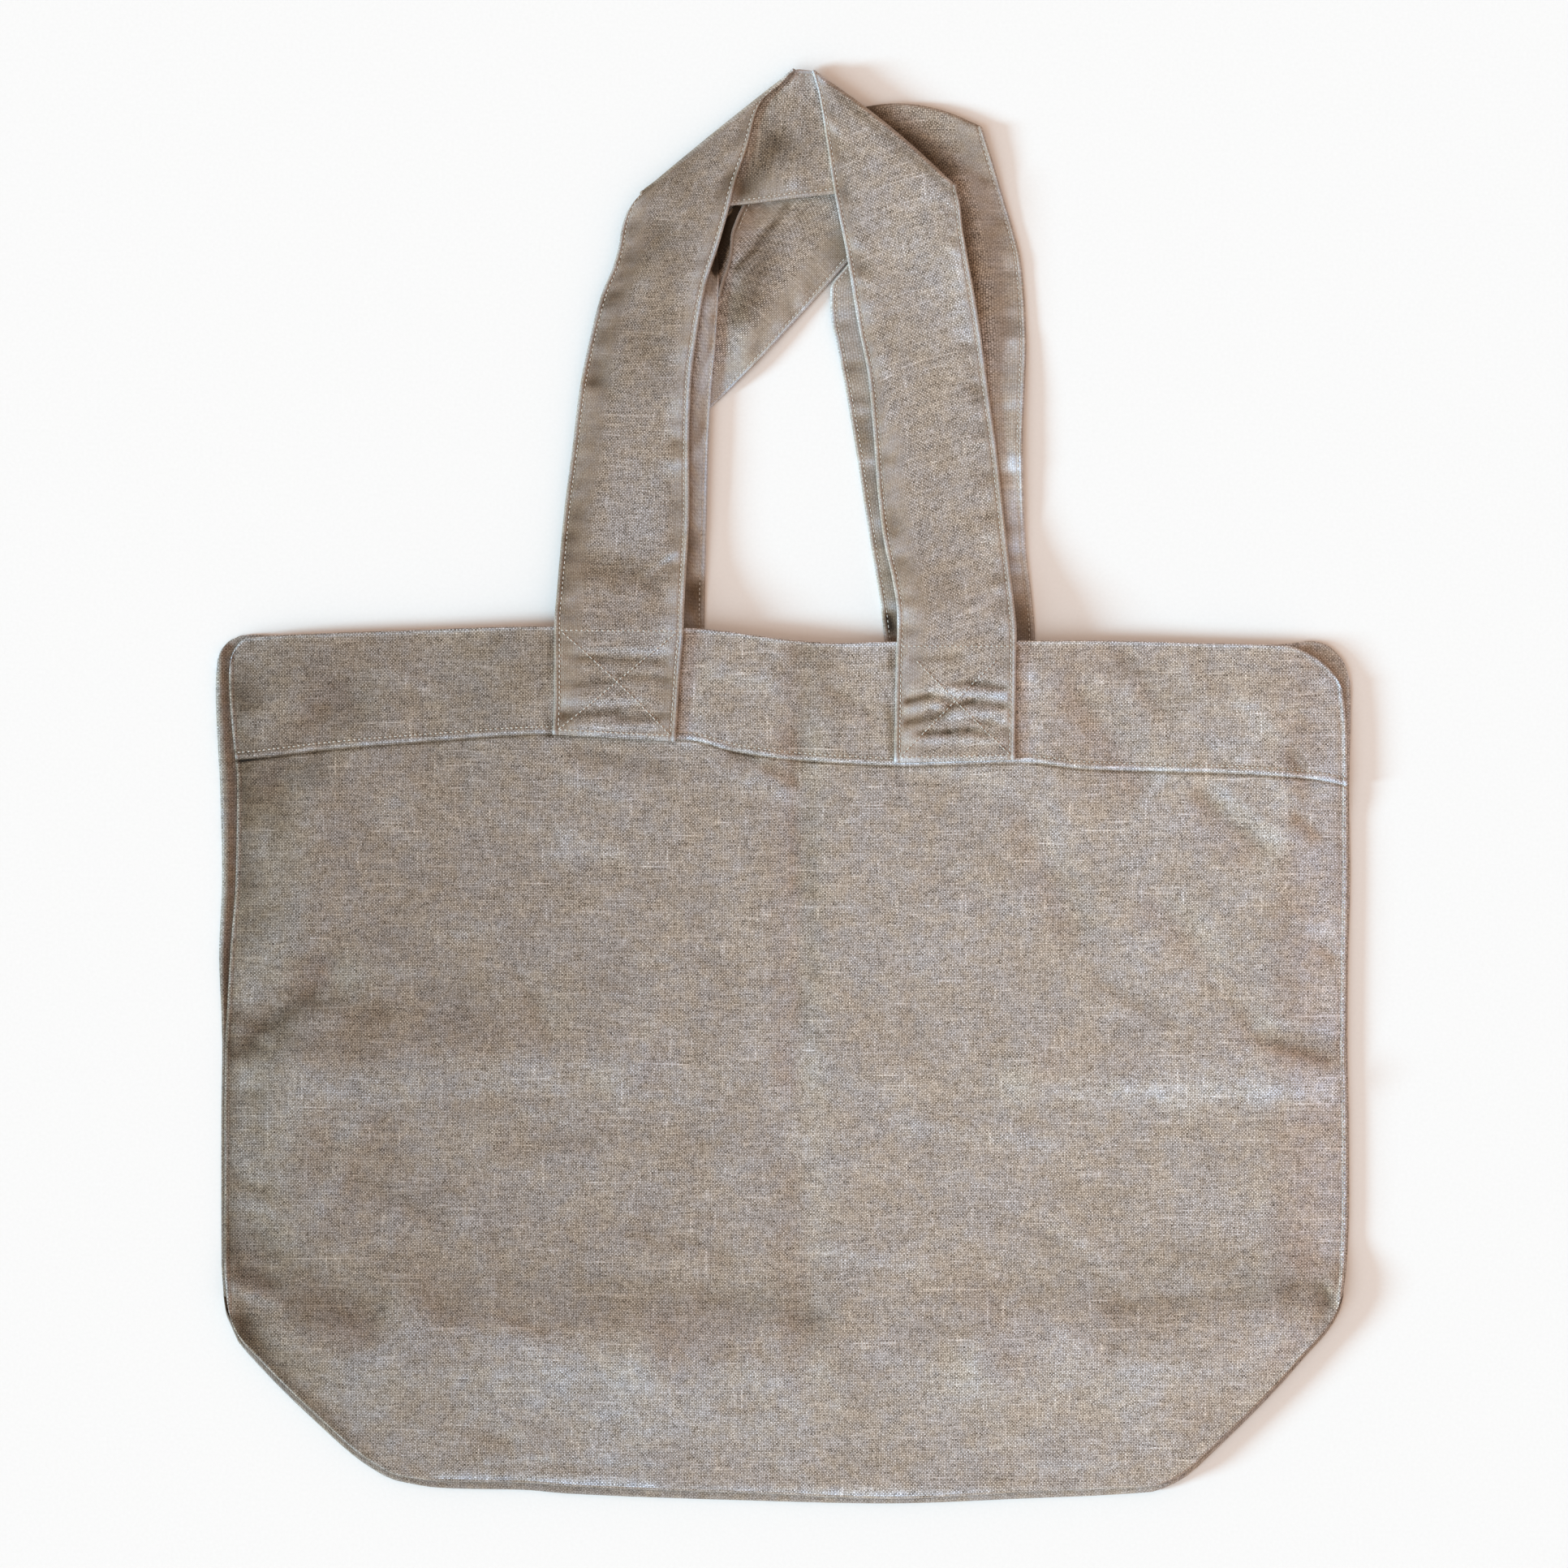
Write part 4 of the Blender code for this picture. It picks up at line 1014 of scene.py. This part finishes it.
def sew_strap(name, strap, material, feet):
    """Topstitching along both edges, and a box with a cross on each foot.

    Without feet it is the back strap, whose rim beside the slot has its own row.
    """
    sewing = Stitching()
    count = len(strap.v)

    def columns(share):
        return np.interp(share, strap.t, range(len(strap.t)))

    def side_up(row):
        return strap.upper if strap.faces[row] > 0 else strap.lower

    def edge_row(inset, rows, grid):
        share = inset / np.interp(rows, range(count), strap.wide)
        at = on_grid(grid, rows, columns(share if inset > 0 else 1 + share))
        if not feet:        # the rim covers this stretch of the edge
            by_slot = (at[:, 0] > -36) & (at[:, 0] < -12) & (at[:, 1] > 222) & (at[:, 1] < 266)
            at = at[~by_slot]
        on_foot = bool(feet) & (at[:, 1] < 66)
        for part, sink in ((at[on_foot], 0.02), (at[~on_foot], 0.13)):
            if len(part) > 1:
                sewing.row(part, sink)

    starts = [0] + [i for i in range(1, count) if strap.faces[i] != strap.faces[i - 1]] + [count]
    for a, b in zip(starts, starts[1:]):
        if strap.faces[a] == 0 or b - a < 6:
            continue
        low = a + (3 if a == 0 else 2)
        high = b - (4 if b == count else 3)
        rows = np.linspace(low, high, (high - low) * 2 + 1)
        for inset in (STITCH_IN, -STITCH_IN):
            edge_row(inset, rows, side_up(a))
    if not feet:
        sewing.row((rim_path() + [1.9, -0.4, STRAP + 0.1])[4:-10], 0.08)
    for start, stop, inset in feet:
        rows = np.interp([start, stop], strap.v, range(count))
        grid = side_up(int(rows[0]))
        for r in rows:
            wide = strap.wide[int(r)]
            cols = columns(np.linspace(STITCH_IN, wide - STITCH_IN, 30) / wide)
            sewing.row(on_grid(grid, np.full(30, r), cols))
        # The cross runs from the corners at the hem to points inside those at the mouth
        at_hem = 0 if start < 10 else 1
        far = rows[1 - at_hem] + (rows[at_hem] - rows[1 - at_hem]) * inset / 50
        both = np.linspace(rows[at_hem], far, 40)
        wide = strap.wide[int(rows[0])]
        right = wide - STITCH_IN
        for ends in ((STITCH_IN, right - inset), (right, STITCH_IN + inset)):
            sewing.row(on_grid(grid, both, columns(np.linspace(*ends, 40) / wide)))
    return sewing.build(name, material)


def rim_path():
    return through(np.linspace(0, 1, len(RIM)), RIM, np.linspace(0, 1, 60))


def build_rim(material):
    """The rolled, stitched edge of the back strap beside the deep slot."""
    path, lift = rim_path()[:, :2], rim_path()[:, 2]
    along = np.gradient(path, axis=0)
    along = along / np.linalg.norm(along, axis=1)[:, None]
    out = np.stack([-along[:, 1], along[:, 0]], -1)
    on_leg = smooth((np.linspace(0, 1, len(path)) - 0.75) / 0.25)
    low = lift + mix(STRAP - 0.5, RIM_LEG + 0.4, on_leg)
    rings = []
    for a in np.radians(range(0, 360, 40)):
        height = low + RIM_RADIUS * (1 + math.sin(a))
        rings.append(np.column_stack([path + out * RIM_RADIUS * math.cos(a), height]))
    at = np.arange(len(path) * len(rings)).reshape(len(path), len(rings))
    after = np.roll(at, -1, axis=1)
    quads = np.stack([at[:-1], after[:-1], after[1:], at[1:]], -1).reshape(-1, 4).tolist()
    caps = [at[0, ::-1].tolist(), at[-1].tolist()]
    obj = add_mesh("handle_back_rim", np.stack(rings, 1), quads + caps, material)
    obj.data.uv_layers.new(name="cloth")
    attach(obj, "root")
    return obj


class Shade:
    """Short calls for the nodes of one material."""

    def __init__(self, name):
        self.material = bpy.data.materials.new(name)
        self.material.use_nodes = True
        self.tree = self.material.node_tree
        self.bsdf = self.tree.nodes["Principled BSDF"]

    def node(self, kind, inputs=(), **settings):
        node = self.tree.nodes.new(kind)
        for key, value in settings.items():
            setattr(node, key, value)
        for key, value in dict(inputs).items():
            if isinstance(value, bpy.types.NodeSocket):
                self.tree.links.new(value, node.inputs[key])
            else:
                node.inputs[key].default_value = value
        return node

    def math(self, operation, first, *rest):
        """The operation on all values in turn, or on one alone."""
        if not rest:
            return self.node("ShaderNodeMath", {0: first}, operation=operation).outputs[0]
        for value in rest:
            node = self.node("ShaderNodeMath", {0: first, 1: value}, operation=operation)
            first = node.outputs[0]
        return first

    def total(self, *values):
        return self.math("ADD", *values)

    def times(self, *values):
        return self.math("MULTIPLY", *values)

    def about(self, value, middle, gain):
        return self.times(self.math("SUBTRACT", value, middle), gain)

    def noise(self, at, scale, detail=2.0, rough=0.5):
        return self.node("ShaderNodeTexNoise", {
            "Vector": at, "Scale": scale, "Detail": detail, "Roughness": rough}).outputs["Fac"]

    def vector(self, x, y, z=0.0):
        return self.node("ShaderNodeCombineXYZ", {0: x, 1: y, 2: z}).outputs[0]

    def span(self, value, low, high, to_low=0.0, to_high=1.0):
        node = self.node("ShaderNodeMapRange", {0: value, 1: low, 2: high, 3: to_low, 4: to_high},
                         interpolation_type="SMOOTHSTEP")
        return node.outputs[0]

    def blend(self, fac, a, b, kind="MIX"):
        node = self.node("ShaderNodeMix", {0: fac, 6: a, 7: b}, data_type="RGBA", blend_type=kind)
        return node.outputs[2]

    def out(self, socket, name):
        self.tree.links.new(socket, self.bsdf.inputs[name])

    def relief(self, height, strength, distance):
        bump = self.node("ShaderNodeBump", {
            "Strength": strength, "Distance": distance, "Height": height})
        self.out(bump.outputs[0], "Normal")


THREAD = 0.76                    # pitch of the weave, millimetres
FLAX = (0.398, 0.343, 0.304)     # the linen at its middle tone
# Dark threads and painted shade are browner, light threads greyer, and worn edges and painted
# light
# pale: the colour's channels follow the weave, the wear-and-shading tone below the middle and
# that above it by these powers
CONTRAST = (1.0, 1.08, 1.18)
SHADING = (0.88, 1.03, 1.25)
LIFTING = (0.75, 1.15, 1.6)
HOLLOW = 0.35                    # below this shade all channels darken alike
GREY_YARN = (0.965, 1.0, 1.06, 1)
TAN_YARN = (1.035, 1.0, 0.925, 1)


def linen(name, tint=1.0):
    """Plain-woven slubby linen on cloth UVs, with painted shade that darkens it towards the bag's
    left.
    """
    s = Shade(name)
    uv = s.node("ShaderNodeUVMap", uv_map="cloth").outputs[0]
    mm = s.node("ShaderNodeVectorMath", {0: uv, 3: 1000.0}, operation="SCALE").outputs[0]
    place = s.node("ShaderNodeTexCoord").outputs["Object"]
    wear_and_shading = s.node("ShaderNodeAttribute", attribute_name="wear_and_shading").outputs["Fac"]
    puff = s.node("ShaderNodeAttribute", attribute_name="puff").outputs["Fac"]
    split = s.node("ShaderNodeSeparateXYZ", {0: mm})
    across, along = split.outputs[0], split.outputs[1]

    def stretched(x, by_x, y, by_y, layer, *detail):
        """Noise at each direction's own scale; every layer is another pattern."""
        return s.noise(s.vector(s.times(x, by_x), s.times(y, by_y), layer), 1.0, *detail)

    # Threads wander a little along their way
    drift = s.noise(s.vector(along, across, 9.0), 0.02, 1.0)
    u = s.total(across, s.times(s.noise(mm, 0.02, 1.0), 2.5), s.times(s.noise(mm, 0.7, 1.0), 0.7))
    v = s.total(along, s.times(drift, 3.0), s.times(s.noise(mm, 0.55, 1.0), 0.6))
    a, b = s.math("DIVIDE", u, THREAD), s.math("DIVIDE", v, THREAD)
    over = s.times(s.math("SINE", s.times(a, math.pi)), s.math("SINE", s.times(b, math.pi)))
    warp_on_top = s.span(over, -0.12, 0.12)
    ridge = s.math("POWER", s.math("ABSOLUTE", over), 0.5)
    warp, weft = s.math("FLOOR", a), s.math("FLOOR", b)
    # Each thread has its own tone along its length, and some have light slubs
    warp_tone = stretched(warp, 7.31, v, 0.16, 0.0, 2.0, 0.7)
    weft_tone = stretched(u, 0.11, weft, 5.77, 3.0, 2.0, 0.7)
    tone = s.node("ShaderNodeMix", {0: warp_on_top, 2: weft_tone, 3: warp_tone}).outputs[0]
    warp_slub = stretched(warp, 9.43, v, 0.05, 6.0, 0.0)
    weft_slub = stretched(u, 0.032, weft, 8.61, 4.0, 0.0)
    slub = s.math("MAXIMUM", s.times(s.span(warp_slub, 0.74, 0.80), s.span(over, -0.9, 0.0)),
                  s.times(s.span(weft_slub, 0.71, 0.78), s.span(over, 0.9, 0.0)))
    cell = s.node("ShaderNodeTexWhiteNoise", {"Vector": s.vector(warp, weft)})
    own = s.node("ShaderNodeSeparateColor", {0: cell.outputs["Color"]}).outputs[1]
    square = s.vector(s.math("FLOOR", s.times(across, 2.6)), s.math("FLOOR", s.times(along, 2.6)))
    speck = s.node("ShaderNodeTexWhiteNoise", {"Vector": square}).outputs["Value"]
    fibres = s.noise(mm, 2.4, 2.0, 0.6)
    weave = s.total(*[s.about(value, middle, gain) for value, middle, gain in (
        (tone, 0.5, 1.15), (own, 0.5, 0.42), (weft_tone, 0.5, 0.35), (warp_tone, 0.5, 0.15),
        (speck, 0.5, 0.4), (fibres, 0.5, 0.5), (ridge, 0.62, 1.3), (warp_on_top, 0.5, 0.5),
        (slub, 0.0, 0.4))])
    # The weave counts less on the puffed margins of the straps
    weave = s.times(weave, s.math("SUBTRACT", 1.0, s.times(puff, 0.6)))
    bands = stretched(u, 0.02, v, 0.45, 0.0, 2.0)
    clumps, cloud = s.noise(mm, 0.8, 1.0), s.noise(mm, 0.05, 2.0)
    light = s.total(weave, 1.0, s.about(bands, 0.5, 0.2), s.about(clumps, 0.5, 0.3),
                    s.about(cloud, 0.5, 0.14))
    # Painted shade: the cloth darkens towards the bag's left
    east = s.node("ShaderNodeSeparateXYZ", {0: place}).outputs[0]
    light = s.times(light, s.span(east, -0.29, 0.20, 0.65, 1.11), tint)
    light = s.math("MAXIMUM", light, 0.02)
    # The tone of pale wear, painted shade and painted light that each mesh carries
    shade = s.math("MAXIMUM", s.total(wear_and_shading, 1.0), 0.05)
    light = s.times(light, s.math("DIVIDE", s.math("MINIMUM", shade, HOLLOW), HOLLOW))
    dark = s.math("MINIMUM", s.math("MAXIMUM", shade, HOLLOW), 1.0)
    pale = s.math("MAXIMUM", shade, 1.0)
    channels = []
    for contrast, depth, lift, flax in zip(CONTRAST, SHADING, LIFTING, FLAX):
        tone_of_wear_and_shading = s.times(s.math("POWER", dark, depth), s.math("POWER", pale, lift))
        channels.append(s.times(s.math("POWER", light, contrast), flax, tone_of_wear_and_shading))
    colour = s.node("ShaderNodeCombineColor", dict(enumerate(channels))).outputs[0]
    hue = s.total(s.noise(mm, 0.16, 2.0), s.times(s.noise(mm, 0.035, 1.0), 0.8),
                  s.times(tone, 0.2))
    yarn = s.blend(s.span(hue, 0.7, 1.3), TAN_YARN, GREY_YARN)
    s.out(s.blend(1.0, colour, yarn, "MULTIPLY"), "Base Color")
    s.relief(s.total(s.times(ridge, 0.5), s.times(fibres, 0.35), s.times(slub, 0.4),
                     s.times(s.noise(mm, 0.25, 3.0), 0.25)), 0.5, 0.0003)
    s.out(s.span(fibres, 0.2, 0.8, 0.82, 0.98), "Roughness")
    s.bsdf.inputs["Sheen Weight"].default_value = 0.08
    s.bsdf.inputs["Sheen Roughness"].default_value = 0.5
    s.bsdf.inputs["Specular IOR Level"].default_value = 0.15
    return s.material


def sewing_thread(name):
    s = Shade(name)
    place = s.node("ShaderNodeTexCoord").outputs["Object"]
    ply = s.noise(place, 2600.0, 2.0, 0.6)
    tone = s.total(s.times(ply, 0.6), s.times(s.noise(place, 90.0, 2.0), 0.4))
    dull, bright = (0.45, 0.40, 0.345, 1), (0.68, 0.63, 0.57, 1)
    s.out(s.blend(s.span(tone, 0.25, 0.75), dull, bright), "Base Color")
    s.relief(ply, 0.4, 0.0002)
    s.out(s.span(ply, 0.2, 0.8, 0.6, 0.85), "Roughness")
    return s.material


def table_top():
    s = Shade("white_table")
    grain = s.noise(s.node("ShaderNodeTexCoord").outputs["Object"], 700.0, 2.0)
    s.out(s.blend(grain, (0.88, 0.88, 0.88, 1), (0.93, 0.93, 0.93, 1)), "Base Color")
    s.relief(grain, 0.1, 0.0002)
    s.bsdf.inputs["Roughness"].default_value = 0.9
    s.bsdf.inputs["Specular IOR Level"].default_value = 0.1
    r = 4000
    corners = [(-r, -r, 0), (r, -r, 0), (r, r, 0), (-r, r, 0)]
    obj = add_mesh("table_top", corners, [(0, 1, 2, 3)], s.material)
    obj.location.z = -0.0003


def light_and_camera():
    scene = bpy.context.scene
    scene.view_settings.view_transform = "Standard"
    scene.world = bpy.data.worlds.new("room")
    scene.world.use_nodes = True
    background = scene.world.node_tree.nodes["Background"]
    background.inputs["Color"].default_value = (1.0, 0.739, 0.589, 1)
    background.inputs["Strength"].default_value = 0.735

    def lamp(name, kind, energy, colour, angles, **settings):
        data = bpy.data.lights.new(name, kind)
        data.energy, data.color = energy, colour
        for key, value in settings.items():
            setattr(data, key, value)
        obj = bpy.data.objects.new(name, data)
        obj.rotation_euler = [math.radians(a) for a in angles]
        bpy.context.collection.objects.link(obj)

    # A wide window to the lower left, and the low part of another on the left
    cool = (0.523, 0.828, 1.0)
    lamp("window", "SUN", 1.04, cool, (48, 0, -56), angle=math.radians(40))
    lamp("low_window", "SUN", 4.97, cool, (75, 0, -81), angle=math.radians(11))

    # Straight above the middle of the photo, which is 1932 pixels of 0.36 mm wide
    camera = bpy.data.cameras.new("overhead")
    camera.sensor_width = 36.0
    distance, frame_width = 3.0, 0.69552
    camera.lens = camera.sensor_width * distance / frame_width
    camera.clip_start, camera.clip_end = 0.05, 20
    obj = bpy.data.objects.new("overhead", camera)
    obj.location = (0.00036, 0.00108, distance)
    bpy.context.collection.objects.link(obj)
    scene.camera = obj


light_and_camera()
table_top()
body = linen("body_linen")
straps = linen("strap_linen")
thread = sewing_thread("sewing_thread")
front = build_front(body)
back = build_back(linen("back_linen", tint=0.92))
front_strap = build_strap("handle_front_cloth", FRONT_STRAP, front_margins,
                          FRONT_STRAP_SHADES, straps, "handle_front_linen", "handle_front", 31)
back_strap = build_strap("handle_back_cloth", BACK_STRAP, back_margins,
                         BACK_STRAP_SHADES, straps, "handle_back_linen", "handle_back", 41)
hem_stitching = sew_front(front, thread)
# Each foot's box starts and stops at these lengths, and its cross is drawn in by the third
length = front_strap.v[-1]
front_sewing = sew_strap("handle_front_stitching", front_strap, thread,
                         [(STITCH_IN, 47.5, 1.0), (length - 51.0, length - STITCH_IN, 6.5)])
back_sewing = sew_strap("handle_back_stitching", back_strap, thread, [])
rim = build_rim(straps)
